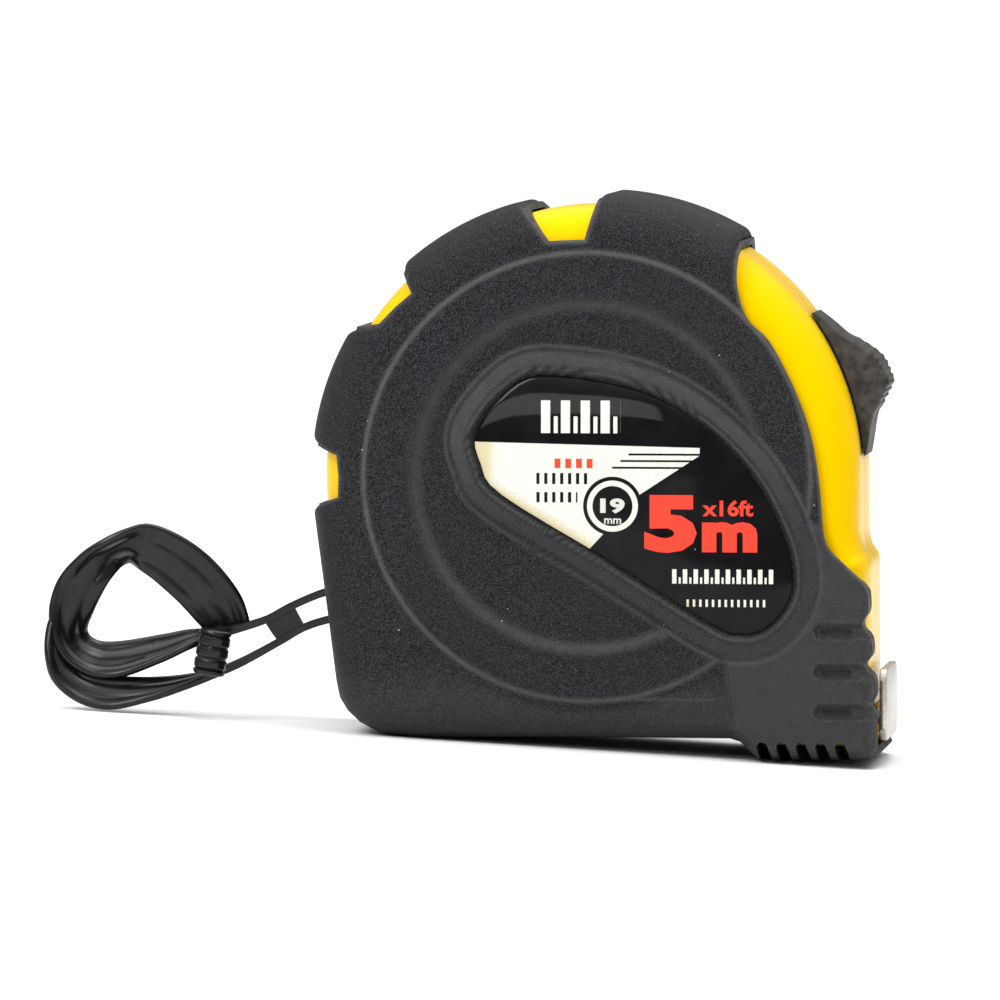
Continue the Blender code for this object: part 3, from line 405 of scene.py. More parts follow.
def capsule(x, z, start, end):
    """Distance to a straight stretch."""
    dx, dz = end[0] - start[0], end[1] - start[1]
    t = np.clip(((x - start[0]) * dx + (z - start[1]) * dz) / (dx * dx + dz * dz), 0.0, 1.0)
    return np.hypot(x - start[0] - t * dx, z - start[1] - t * dz)


def ring_relief(x, z):
    """Round steps that both jackets carry: a raised disc with a recess in its middle."""
    radius = np.hypot(x, z - CENTRE_Z)
    relief = 0.38 * ease((28.5 - radius) / 0.9) - 0.85 * ease((22.4 - radius) / 1.5)
    relief += 0.14 * np.exp(-((radius - 22.6) / 0.45) ** 2)
    relief -= 0.85 * ease((8.2 - z) / 4.5) * ease((18.5 - x) / 2.0)
    relief -= 0.35 * ease((-27.2 - x) / 1.2 - np.abs(z - 14.0) / 9.0 + 0.6)
    return relief


def rim_and_block(x, z, relief):
    """The raised rim round the label, running into the mouth block with its grooves."""
    label = distance_to(x, z, LABEL)
    block = distance_to(x, z, BLOCK)
    raised = np.maximum(ease((3.9 - label) / 1.25), ease((0.25 - block) / 0.7))
    relief = relief * (1.0 - raised) + 0.78 * raised
    relief -= 0.93 * ease((0.75 - label) / 0.55)
    for level in GROOVE_LEVELS:
        wide = capsule(x, z, (29.6, level), (38.0, level))
        relief += 0.14 * np.exp(-((wide - 1.15) / 0.25) ** 2)
        relief -= 0.50 * ease((1.0 - wide) / 0.4)
        core = capsule(x, z, (29.9, level - 0.1), (32.9, level - 0.1))
        relief -= 0.50 * ease((0.5 - core) / 0.3)
    return relief


def rubbed_and_lit(x, z, label_side):
    """How pale the rubber is painted, 0 to 1: rubbed edges, and painted light on the lower band outside the
    ring and, on the label side, on the label's rim and the mouth block.
    """
    radius = np.hypot(x, z - CENTRE_Z)
    rub = 0.75 * np.exp(-((radius - 28.15) / 0.32) ** 2)
    rub = np.maximum(rub, 0.45 * np.exp(-((radius - 21.6) / 0.7) ** 2))
    for cut, width in ((FRONT_CUT, 0.22), (TOP_NOTCH, 0.45), (HIGH_NOTCH, 0.25), (REAR_NOTCH, 0.25)):
        rub = np.maximum(rub, 0.9 * np.exp(-(distance_to(x, z, cut) / width) ** 2))
    crease = 0.4 * np.exp(-((z - 7.9) / 0.22) ** 2) * ease((x + 8.0) / 5.0) * ease((17.4 - x) / 1.5)
    rub = np.maximum(rub, crease)
    # Painted light: a paler lower band outside the ring, standing in for light bounced up from the floor.
    rub = np.maximum(rub, 0.20 * ease((13.0 - z) / 7.0) * ease((radius - 28.8) / 1.5))
    if label_side:
        label = distance_to(x, z, LABEL)
        block = distance_to(x, z, BLOCK)
        outside = ease((label - 3.0) / 0.4)
        rub *= np.where(label < 3.4, 0.0, 1.0) * np.where(block < 0.3, 0.0, 1.0)
        rim = ease((3.7 - label) / 1.0) * ease((label - 1.0) / 0.6)
        # Painted light: the raised rim round the label painted paler, more so towards the top, as if lit from
        # above.
        rub = np.maximum(rub, rim * (0.18 + 0.24 * ease((z - 28.0) / 14.0)))
        # Painted light: the raised mouth block painted paler, as if catching the light.
        rub = np.maximum(rub, 0.26 * ease((0.2 - block) / 0.6) * outside)
        rub = np.maximum(rub, 0.50 * np.exp(-((label - 3.7) / 0.3) ** 2))
        rub = np.maximum(rub, 0.35 * np.exp(-(block / 0.25) ** 2) * outside)
        rub = np.maximum(rub, 0.5 * np.exp(-((label - 0.75) / 0.22) ** 2))
        for level in GROOVE_LEVELS:
            wide = capsule(x, z, (29.6, level), (38.0, level))
            rub = np.maximum(rub, 0.4 * np.exp(-((wide - 1.1) / 0.2) ** 2))
        rub = np.maximum(rub, 0.8 * np.exp(-(distance_to(x, z, FRONT_CUT) / 0.18) ** 2))
    return rub


# ---- meshes ----
def add_mesh(name, mesh, material, body, covers, sharp):
    """A smooth-shaded piece in the tape's own axes, riding on a body and standing for its CAD nodes."""
    mesh.materials.clear()
    mesh.materials.append(material)
    mesh.shade_smooth()
    mesh.set_sharp_from_angle(angle=math.radians(sharp))
    piece = bpy.data.objects.new(name, mesh)
    piece.matrix_world = BODY
    bpy.context.scene.collection.objects.link(piece)
    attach(piece, body)
    if covers:
        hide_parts(*covers)
    return piece


def closed_grid(rows):
    """Faces of equal closed rows skinned in turn, both ends capped by fans to their middles."""
    rows = [np.asarray(row) for row in rows]
    count = len(rows[0])
    verts = np.vstack(rows + [rows[0].mean(axis=0)[None], rows[-1].mean(axis=0)[None]])
    first = np.arange(count)
    after = np.roll(first, -1)
    faces = []
    for k in range(len(rows) - 1):
        base = k * count
        faces.append(np.column_stack((base + first, base + after, base + count + after,
                                      base + count + first)))
    quads = np.vstack(faces).tolist()
    head, tail = len(rows) * count, len(rows) * count + 1
    last = (len(rows) - 1) * count
    quads += [(head, b, a) for a, b in zip(first.tolist(), after.tolist())]
    quads += [(tail, last + a, last + b) for a, b in zip(first.tolist(), after.tolist())]
    return verts, quads


def solid_mesh(verts, faces):
    """A closed mesh with its faces turned outwards."""
    mesh = bpy.data.meshes.new("solid")
    mesh.from_pydata([tuple(v) for v in np.asarray(verts, float) * MM], [], faces)
    bm = bmesh.new()
    bm.from_mesh(mesh)
    bmesh.ops.recalc_face_normals(bm, faces=bm.faces)
    if bm.calc_volume(signed=True) < 0:
        bmesh.ops.reverse_faces(bm, faces=bm.faces)
    bm.to_mesh(mesh)
    bm.free()
    return mesh


def prism_mesh(outline, y_from, y_to):
    """An X-Z outline carried along Y."""
    return solid_mesh(*closed_grid([[(x, y, z) for x, z in outline] for y in (y_from, y_to)]))


def round_mesh(profile, centre, steps=28):
    """A profile of (radius, y) turned about a Y axis."""
    rows = []
    for radius, y in profile:
        turns = np.arange(steps) * 2 * math.pi / steps
        rows.append(np.column_stack((centre[0] + radius * np.cos(turns), np.full(steps, y),
                                     centre[1] + radius * np.sin(turns))))
    return solid_mesh(*closed_grid(rows))


def carved(mesh, cutters, operation="DIFFERENCE"):
    """The mesh with every cutter taken away, or joined."""
    scene = bpy.context.scene.collection
    target = bpy.data.objects.new("target", mesh)
    scene.objects.link(target)
    tools = []
    for cutter in cutters:
        tool = bpy.data.objects.new("tool", cutter)
        scene.objects.link(tool)
        tools.append(tool)
        boolean = target.modifiers.new("cut", "BOOLEAN")
        boolean.operation = operation
        boolean.solver = "MANIFOLD"
        boolean.object = tool
    bpy.context.view_layer.update()
    depsgraph = bpy.context.evaluated_depsgraph_get()
    result = bpy.data.meshes.new_from_object(target.evaluated_get(depsgraph))
    for item in [target] + tools:
        bpy.data.objects.remove(item, do_unlink=True)
    return result


def positions(mesh):
    """The mesh's points, in metres."""
    flat = np.empty(len(mesh.vertices) * 3)
    mesh.vertices.foreach_get("co", flat)
    return flat.reshape(-1, 3)


# ---- jackets and shells ----
SIDE = 15.8
LIP_SOFT = 0.45
PAD_SOFT = 1.25
SIDE_CENTRE = np.array((0.0, 33.0))
SPLIT_HALF = 0.15


def shell_ring(outline, inset, depth, side, turn, drop=0.0):
    """One ring of a half body: turn 0 is the wall's end, 90 degrees the side face's edge."""
    angle = math.radians(turn)
    move = inset + ROUND_INSET * outline[:, 2] * (1.0 - math.cos(angle)) + drop * math.cos(angle)
    out = side - depth * (1.0 - math.sin(angle)) - drop * math.sin(angle)
    return np.column_stack((outline[:, 0] + outline[:, 3] * move, np.broadcast_to(out, move.shape),
                            outline[:, 1] + outline[:, 4] * move))


def soft_edge(x, z, reach, cuts):
    """How far a face sinks beside the cut edges, rounded off within reach of them."""
    drop = np.zeros(np.shape(x))
    for cut in cuts:
        near = np.clip(np.abs(distance_to(x, z, cut)) / reach, 0.0, 1.0)
        drop = np.maximum(drop, reach * (1.0 - np.sqrt(1.0 - (1.0 - near) ** 2)))
    return drop


def half_body(sign, reach, inset, side, inner_inset, inner_side, round_rows, side_steps, relief, cuts):
    """One hollow half: outer wall, rounded edge, side face with its relief, and the inside."""
    outline = body_outline(reach)
    flat = outline[:, :2]
    pad_drop = soft_edge(flat[:, 0], flat[:, 1], PAD_SOFT, cuts) if cuts else 0.0
    rows = []
    for y in np.linspace(SPLIT_HALF, side - ROUND_DEPTH, 6)[:-1]:
        ring = shell_ring(outline, inset, 0.0, y, 0.0, pad_drop)
        ring[:, 1] = y
        rows.append(ring)
    for turn in np.linspace(0.0, 90.0, round_rows):
        ring = shell_ring(outline, inset, ROUND_DEPTH, side, turn)
        if cuts:
            upright = math.sin(math.radians(turn))
            soft = PAD_SOFT + (LIP_SOFT - PAD_SOFT) * upright
            drop = soft_edge(ring[:, 0], ring[:, 2], soft, cuts)
            ring = shell_ring(outline, inset, ROUND_DEPTH, side, turn, drop)
            ring[:, 1] += relief(ring[:, 0], ring[:, 2]) * upright ** 3
        rows.append(ring)
    edge = shell_ring(outline, inset, ROUND_DEPTH, side, 90.0)
    for share in side_steps:
        ring = edge.copy()
        ring[:, 0] = SIDE_CENTRE[0] + (edge[:, 0] - SIDE_CENTRE[0]) * share
        ring[:, 2] = SIDE_CENTRE[1] + (edge[:, 2] - SIDE_CENTRE[1]) * share
        if cuts:
            ring[:, 1] += relief(ring[:, 0], ring[:, 2])
            ring[:, 1] -= soft_edge(ring[:, 0], ring[:, 2], LIP_SOFT, cuts)
        rows.append(ring)
    inside = []
    for y in (SPLIT_HALF, inner_side - ROUND_DEPTH):
        ring = shell_ring(outline, inner_inset, 0.0, y, 0.0)
        ring[:, 1] = y
        inside.append(ring)
    for turn in (30.0, 60.0, 90.0):
        inside.append(shell_ring(outline, inner_inset, ROUND_DEPTH, inner_side, turn))
    rows = inside[::-1] + rows
    verts, faces = closed_grid(rows)
    verts[:, 1] *= sign
    return solid_mesh(verts, faces)


SCREW_SPOTS = ((12.0, 59.0), (-24.9, 47.2), (-23.5, 11.5), (21.3, 12.2))
CLIP_SCREW = (0.0, 51.0)
CLIP_SCREW_HOLE = 1.5
OUTSIDE = 30.0
STRAP_SLOT = [(-45.0, 15.0), (-29.2, 15.0), (-29.2, 25.5), (-45.0, 25.5)]
SIDE_STEPS = [1.0 - 0.0072 * i for i in range(1, 62)] + [0.5608 - 0.0165 * i for i in range(1, 34)]


def screw_cutters(radius, low):
    """A round hole from low outwards at each shell screw."""
    return [round_mesh([(radius, low), (radius, OUTSIDE)], spot) for spot in SCREW_SPOTS]


def arc_band(outer, inner, low, high, steps):
    """A band between two radii about the middle of the crown's arc."""
    turns = np.linspace(low, high, steps)
    return [polar(outer, turn) for turn in turns] + [polar(inner, turn) for turn in turns[::-1]]


def foot_slits():
    """Slanted slits through the front foot's bottom edge."""
    slits = []
    for i in range(5):
        x = 21.9 + 2.45 * i
        slits.append([(x, -2.0), (x + 1.55, -2.0), (x + 1.25, 1.3), (x + 0.75, 2.50), (x - 0.05, 2.7),
                      (x - 0.45, 2.2), (x - 0.25, 1.0)])
    return slits


def make_jacket(name, sign, node, label_side):
    """A rubber jacket with its pads, notches, relief and slits."""
    def relief(x, z):
        plain = ring_relief(x, z)
        if label_side:
            return rim_and_block(x, z, plain)
        raised = ease((0.25 - distance_to(x, z, BLOCK)) / 0.9)
        return plain * (1.0 - raised) + 0.35 * raised
    steps = SIDE_STEPS if label_side else SIDE_STEPS[::2]
    mesh = half_body(sign, reach=0.42 if label_side else 0.6, inset=0.0, side=SIDE, inner_inset=1.4,
                     inner_side=14.6, round_rows=16, side_steps=steps, relief=relief,
                     cuts=(FRONT_CUT, TOP_NOTCH, HIGH_NOTCH, REAR_NOTCH))
    front = FRONT_CUT.copy()
    if not label_side:
        front[:, 0] -= 1.9 * ease((front[:, 1] - 5.0) / 2.0) * ease((32.0 - front[:, 1]) / 6.0)
    cutters = [prism_mesh(cut, -OUTSIDE, OUTSIDE) for cut in (front, TOP_NOTCH, HIGH_NOTCH, REAR_NOTCH)]
    mouth = [(35.0, 1.9), (45.0, 1.9), (45.0, 30.0), (35.0, 30.0)]
    cutters.append(prism_mesh(mouth, -10.0, 10.0))
    cutters.append(prism_mesh(STRAP_SLOT, -1.6, 1.6))
    cutters += [prism_mesh(slit, sign * 9.0, sign * OUTSIDE) for slit in foot_slits()]
    if not label_side:
        cutters += screw_cutters(2.6, 5.0)
        cutters.append(round_mesh([(CLIP_SCREW_HOLE, 10.0), (CLIP_SCREW_HOLE, OUTSIDE)], CLIP_SCREW))
    mesh = carved(mesh, cutters)
    places = positions(mesh) / MM
    # Paleness per point: rubbed edges and painted light, faded out towards the middle plane; the pad ends'
    # edges are added after.
    rub = rubbed_and_lit(places[:, 0], places[:, 2], label_side) * ease((np.abs(places[:, 1]) - 9.5) / 3.0)
    pads = np.zeros(len(places))
    for cut in (TOP_NOTCH, HIGH_NOTCH, REAR_NOTCH):
        pads = np.maximum(pads, 0.5 * np.exp(-(distance_to(places[:, 0], places[:, 2], cut) / 0.3) ** 2))
    rub = np.maximum(rub, pads)
    mesh.attributes.new("rub", "FLOAT", "POINT").data.foreach_set("value", rub.astype(np.float32))
    return add_mesh(name, mesh, RUBBER, "housing", (node,), 38.0)


def make_shell(name, sign, node):
    """A yellow half shell, cut for the mouth, the strap and the lock."""
    steps = [1.0 - 0.07 * i for i in range(1, 14)]
    mesh = half_body(sign, reach=0.9, inset=1.7, side=14.3, inner_inset=3.5, inner_side=12.5,
                     round_rows=14, side_steps=steps, relief=None, cuts=())
    channel = [(-8.0, 5.15), (19.2, 5.15), (23.2, 2.6), (50.0, 2.6), (50.0, 6.6), (30.0, 6.6), (-8.0, 9.0)]
    cutters = [prism_mesh(channel, -10.0, 10.0), prism_mesh(STRAP_SLOT, -1.6, 1.6),
               prism_mesh(arc_band(40.0, 30.0, 5.4, 29.6, 10), -3.1, 3.1)]
    if sign > 0:
        cutters += screw_cutters(2.3, 12.3)
        cutters.append(round_mesh([(CLIP_SCREW_HOLE, 11.0), (CLIP_SCREW_HOLE, OUTSIDE)], CLIP_SCREW))
    return add_mesh(name, carved(mesh, cutters), YELLOW, "housing", (node,), 40.0)


make_shell("near_yellow_shell", -1.0, "near_shell")
make_shell("far_yellow_shell", 1.0, "far_shell")
make_jacket("near_rubber_jacket", -1.0, "near_jacket", True)
make_jacket("far_rubber_jacket", 1.0, "far_jacket", False)


# ---- label ----
LABEL_BACK = 15.70
LABEL_EDGE = 15.88
LABEL_TOP = 16.22
LABEL_CENTRE = np.array((6.5, 33.0))


def label_height(x, z):
    """The domed face's distance from the middle plane."""
    inside = -distance_to(x, z, LABEL)
    return LABEL_EDGE + (LABEL_TOP - LABEL_EDGE) * np.sqrt(1.0 - (1.0 - np.clip(inside / 5.5, 0, 1)) ** 2)


def label_finish():
    """Printed film under a clear dome: a pale wedge with stripes, a ring, and tick rows on black."""
    made = Finish("printed_label_film", Roughness=0.06, IOR=1.22)
    x, _, z = made.parts(made.place())
    x = x * PER_METRE
    z = z * PER_METRE
    blur = 0.035

    def half_plane(start, end):
        """Millimetres to the left of a line."""
        dx, dz = end[0] - start[0], end[1] - start[1]
        length = math.hypot(dx, dz)
        return (z - start[1]) * (dx / length) - (x - start[0]) * (dz / length)

    def strip(value, low, high):
        return (value - low).ramp(-blur, blur) * (high - value).ramp(-blur, blur)

    def ticks(low_x, high_x, low_z, high_z, pitch, width):
        wave = ((x - low_x) / pitch).math("FRACT")
        return strip(x, low_x, high_x) * strip(z, low_z, high_z) * (width / pitch - wave).ramp(-0.03, 0.03)

    top = half_plane((14.06, 39.51), (-13.73, 40.16))
    upper = half_plane((6.67, 33.60), (14.20, 38.52))
    lower = half_plane((0.56, 26.97), (6.67, 33.60))
    wedge = top.least(upper.most(lower)).least(14.25 - x).ramp(-blur, blur)
    for start, level in ((5.30, 38.66), (4.29, 37.84), (3.25, 36.99)):
        wedge = wedge * (1.0 - strip(z, level - 0.13, level + 0.13) * (x - start).ramp(-blur, blur))
    ring = ((x - 3.30) ** 2.0 + (z - 32.17) ** 2.0).math("SQRT")
    wedge = wedge * (ring - 3.70).ramp(-blur, blur)
    pale = wedge.most(strip(ring, 2.52, 3.20))
    for row in ((-5.7, 4.3, 41.3, 45.4, 2.5, 1.15), (-4.1, 4.3, 41.3, 43.4, 2.5, 0.5),
                (10.8, 23.6, 22.5, 24.3, 1.35, 0.55), (11.62, 23.6, 22.5, 23.3, 1.35, 0.26),
                (12.6, 22.9, 19.6, 20.5, 0.8, 0.3)):
        pale = pale.most(ticks(*row))
    for row in ((-6.3, 0.5, 34.9, 36.3, 1.0, 0.42), (-6.3, -1.1, 32.6, 33.9, 1.0, 0.42)):
        pale = pale * (1.0 - ticks(*row))
    red = ticks(-4.0, 1.3, 36.9, 38.1, 1.35, 0.75)
    speckle = made.noise(5200.0, 1.0)
    cloud = made.noise(240.0, 3.0)
    film = made.mix(speckle.ramp(0.3, 0.7), (0.60, 0.59, 0.53), (0.74, 0.73, 0.67))
    edge = half_plane((0.56, 26.97), (-10.6, 33.6)) - 0.35
    yellowed = (1.0 - edge.math("ABSOLUTE").ramp(0.1, 1.7)).most(1.0 - (x + 13.0).ramp(0.2, 2.0))
    film = made.mix(yellowed * 0.8, film, (0.54, 0.46, 0.24))
    black = made.mix(cloud.ramp(0.4, 0.8) * 0.5, (0.0035, 0.0035, 0.004), (0.012, 0.012, 0.013))
    colour = made.mix(pale, black, film)
    colour = made.mix(red, colour, (0.82, 0.060, 0.030))
    dust = made.specks(520.0, 0.06) * made.noise(150.0).ramp(0.56, 0.62)
    made.drive("Base Color", made.mix(dust * 0.5, colour, (0.5, 0.5, 0.48)))
    made.drive("Roughness", 0.03 + 0.07 * cloud)
    rise = (z - 40.2).most(0.0)
    dome = z * -0.028 - rise * rise * 0.016 + made.noise(90.0, 1.0) * 0.22
    made.relief(dome * 0.001, 1.0, 1.0)
    return made.material


def make_label():
    """A clear-domed film in the near jacket's pocket."""
    outline = LABEL[::2]
    rows = [np.column_stack((outline[:, 0], np.full(len(outline), LABEL_BACK), outline[:, 1]))]
    for share in [1.0, 0.997] + [0.99 - 0.015 * i for i in range(8)] + [0.86 - 0.04 * i for i in range(21)]:
        spot = LABEL_CENTRE + (outline - LABEL_CENTRE) * share
        rows.append(np.column_stack((spot[:, 0], label_height(spot[:, 0], spot[:, 1]), spot[:, 1])))
    verts, faces = closed_grid(rows)
    verts[:, 1] *= -1.0
    mesh = solid_mesh(verts, faces)
    return add_mesh("domed_label", mesh, label_finish(), "housing", ("near_label",), 50.0)


def printed(name, words, low, high, colour, bold=0.0):
    """Flat printed figures between two (x, z) corners of the label, as thin solids."""
    curve = bpy.data.curves.new(name, "FONT")
    curve.body = words
    curve.offset = bold
    curve.resolution_u = 3
    holder = bpy.data.objects.new(name, curve)
    bpy.context.scene.collection.objects.link(holder)
    bpy.context.view_layer.update()
    flat = bpy.data.meshes.new_from_object(holder.evaluated_get(bpy.context.evaluated_depsgraph_get()))
    bpy.data.objects.remove(holder, do_unlink=True)
    bm = bmesh.new()
    bm.from_mesh(flat)
    bmesh.ops.remove_doubles(bm, verts=bm.verts, dist=1e-5)
    points = np.array([vert.co[:2] for vert in bm.verts])
    start, size = points.min(axis=0), np.ptp(points, axis=0)
    for vert in bm.verts:
        share = (np.array(vert.co[:2]) - start) / size
        vert.co = (low[0] + share[0] * (high[0] - low[0]), 0.0, low[1] + share[1] * (high[1] - low[1]))
    bmesh.ops.subdivide_edges(bm, edges=[edge for edge in bm.edges if edge.calc_length() > 0.8], cuts=2)
    bmesh.ops.triangulate(bm, faces=bm.faces)
    grown = bmesh.ops.extrude_face_region(bm, geom=list(bm.faces))
    top = {item for item in grown["geom"] if isinstance(item, bmesh.types.BMVert)}
    for vert in bm.verts:
        out = float(label_height(np.array([vert.co.x]), np.array([vert.co.z]))[0])
        vert.co.y = -(out + (0.018 if vert in top else -0.12))
        vert.co *= MM
    bmesh.ops.recalc_face_normals(bm, faces=bm.faces)
    mesh = bpy.data.meshes.new(name)
    bm.to_mesh(mesh)
    bm.free()
    made = Finish(name + "_ink", Roughness=0.25, Specular_IOR_Level=0.12)
    tone = made.noise(3200.0, 1.0)
    made.drive("Base Color", made.mix(tone.ramp(0.3, 0.7) * 0.3, colour, tuple(0.8 * c for c in colour)))
    made.drive("Roughness", 0.08 + 0.12 * made.noise(600.0))
    return add_mesh(name, mesh, made.material, "housing", (), 20.0)


INK_RED = (0.80, 0.052, 0.028)
INK_PALE = (0.60, 0.59, 0.54)
make_label()
printed("printed_length_number", "5", (7.3, 26.35), (13.9, 33.6), INK_RED, 0.055)
printed("printed_length_unit", "m", (14.55, 26.45), (21.5, 30.25), INK_RED, 0.055)
printed("printed_feet", "x16ft", (14.6, 30.95), (21.0, 33.0), INK_RED, 0.03)
printed("printed_width_number", "19", (1.75, 31.25), (4.85, 33.15), INK_PALE, 0.045)
printed("printed_width_unit", "mm", (2.25, 29.95), (4.4, 30.65), INK_PALE, 0.02)


# ---- lock button ----
def anticlockwise(outline):
    """The outline turned to run anticlockwise."""
    x, z = outline[:, 0], outline[:, 1]
    area = (x * np.roll(z, -1) - np.roll(x, -1) * z).sum()
    return outline if area > 0 else outline[::-1]


SHELL_TOP = 33.8
BUTTON = [(4.0, 0.62), (9.3, 1.55), (12.1, 2.25), (12.9, 2.75), (13.8, 3.3), (14.3, 3.35), (14.9, 3.95),
          (15.3, 3.95), (15.9, 4.55), (16.3, 4.55), (17.0, 5.1), (17.6, 5.1), (18.3, 5.22), (18.8, 5.0),
          (19.6, 5.2), (20.1, 4.98), (21.0, 5.12), (21.5, 4.9), (22.4, 4.9), (22.9, 4.62), (24.0, 4.35),
          (24.5, 4.05), (25.6, 3.7), (26.1, 3.4), (27.2, 3.05), (27.8, 2.7), (29.2, 2.1), (32.0, 1.5),
          (36.3, 0.62)]


def make_button():
    """The thumb lock: a ribbed wedge with softened edges."""
    turns = np.linspace(36.5, 3.8, 26)
    under = [polar(SHELL_TOP + 0.3, turn) for turn in turns]
    fine = catmull([(turn, height) for turn, height in BUTTON], 3, False)
    over = [polar(SHELL_TOP + height, turn) for turn, height in fine]
    outline = anticlockwise(np.array(under + over))
    rows = []
    for y, inset in ((-5.5, 0.75), (-5.46, 0.45), (-5.3, 0.2), (-5.05, 0.05), (-4.7, 0.0), (-2.5, 0.0),
                     (0.0, 0.0), (2.5, 0.0), (4.7, 0.0), (5.05, 0.05), (5.3, 0.2), (5.46, 0.45), (5.5, 0.75)):
        middle = np.array(polar(SHELL_TOP + 1.6, 18.0))
        radius = np.hypot(outline[:, 0], outline[:, 1] - CENTRE_Z) - SHELL_TOP
        share = inset * np.clip((radius - 0.3) / 1.5, 0.0, 1.0)[:, None]
        toward = middle - outline
        ring = outline + toward / np.linalg.norm(toward, axis=1)[:, None] * share
        rows.append(np.column_stack((ring[:, 0], np.full(len(ring), y), ring[:, 1])))
    verts, faces = closed_grid(rows)
    mesh = solid_mesh(verts, faces)
    mesh = carved(mesh, [prism_mesh(arc_band(34.6, 31.8, 16.0, 28.0, 8), -2.8, 2.8)], "UNION")
    return add_mesh("ribbed_thumb_lock", mesh, DUSTY, "lock", ("lock_button",), 30.0)


make_button()


# ---- end hook, blade and rivets ----
BLADE_HALF = 9.5
STANCE_TURN = math.radians(3.37)
GROUND_LIFT = -HEEL_X * math.sin(STANCE_TURN)
LEVEL = 6.043
PLATE_X = 36.3 * math.cos(STANCE_TURN) - 6.6 * math.sin(STANCE_TURN)
RIVET_X = (PLATE_X - 9.35, PLATE_X - 4.35)


def hook_face(y_half, low, high, corner):
    """A rounded upright plate's outline as (y, z)."""
    points = []
    for cy, cz, start in ((y_half - corner, low + corner, -90), (y_half - corner, high - corner, 0),
                          (-y_half + corner, high - corner, 90), (-y_half + corner, low + corner, 180)):
        for step in range(7):
            turn = math.radians(start + 15 * step)
            points.append((cy + corner * math.cos(turn), cz + corner * math.sin(turn)))
    return points


def make_hook():
    """The upright plate, softened at its edges, and its tongue with a slot round each rivet."""
    plate = []
    for x, inset in ((36.3, 0.22), (36.34, 0.08), (36.46, 0.0), (37.14, 0.0), (37.26, 0.08), (37.3, 0.22)):
        ring = hook_face(9.0 - inset, 2.4 + inset, 11.5 - inset, 1.7)
        plate.append([(x, y, z) for y, z in ring])
    mesh = solid_mesh(*closed_grid(plate))
    tongue = []
    for x in np.linspace(24.4, 36.7, 6):
        ys = np.linspace(-5.0, 5.0, 11)
        height = 1.7 * ((ys / BLADE_HALF) ** 2 - 0.6)
        ring = [ground_to_body(x, y, LEVEL + h + 0.43) for y, h in zip(ys, height)]
        ring += [ground_to_body(x, y, LEVEL + h + 1.12) for y, h in zip(ys[::-1], height[::-1])]
        tongue.append(ring)
    mesh = carved(mesh, [solid_mesh(*closed_grid(tongue))], "UNION")
    slots = []
    for x in RIVET_X:
        ring = []
        for i in range(25):
            turn = math.radians(-90 + 15 * i)
            ring.append((x + 1.3 * math.cos(turn) - (1.0 if i > 12 else 0.0), 1.3 * math.sin(turn)))
        slots.append(solid_mesh(*closed_grid([[ground_to_body(px, py, z) for px, py in ring]
                                              for z in (LEVEL - 2.0, LEVEL + 3.0)])))
    mesh = carved(mesh, slots)
    add_mesh("plated_end_hook", mesh, PLATED, "hook", ("end_hook",), 35.0)


def ground_to_body(x, y, z):
    """A point in the part's own upright frame, x counted from the crown's middle, to the tape's axes."""
    lifted = z - GROUND_LIFT
    cosine, sine = math.cos(STANCE_TURN), math.sin(STANCE_TURN)
    return (x * cosine + lifted * sine, y, lifted * cosine - x * sine)


def blade_finish():
    """Yellow lacquer with black millimetre and centimetre lines along both edges."""
    made = Finish("painted_ruled_blade", Roughness=0.3, Coat_Weight=0.3, Coat_Roughness=0.1)
    x, y, _ = made.parts(made.place())
    x = x * PER_METRE + 100.0
    edge = BLADE_HALF - (y * PER_METRE).math("ABSOLUTE")

    def line(pitch, width, reach):
        wave = ((x / pitch).math("FRACT") - 0.5).math("ABSOLUTE")
        return (wave - (0.5 - width / pitch / 2)).ramp(-0.02, 0.02) * (reach - edge).ramp(-0.05, 0.05)

    ink = line(1.0, 0.2, 2.6).most(line(5.0, 0.22, 4.0)).most(line(10.0, 0.26, 6.2))
    tone = made.noise(700.0, 2.0)
    paint = made.mix(tone.ramp(0.3, 0.7) * 0.4, (0.90, 0.66, 0.02), (0.80, 0.56, 0.02))
    made.drive("Base Color", made.mix(ink * 0.95, paint, (0.012, 0.012, 0.012)))
    made.drive("Roughness", 0.25 + 0.15 * tone)
    made.relief(tone, 0.00001, 0.5)
    return made.material


BLADE = blade_finish()
make_hook()


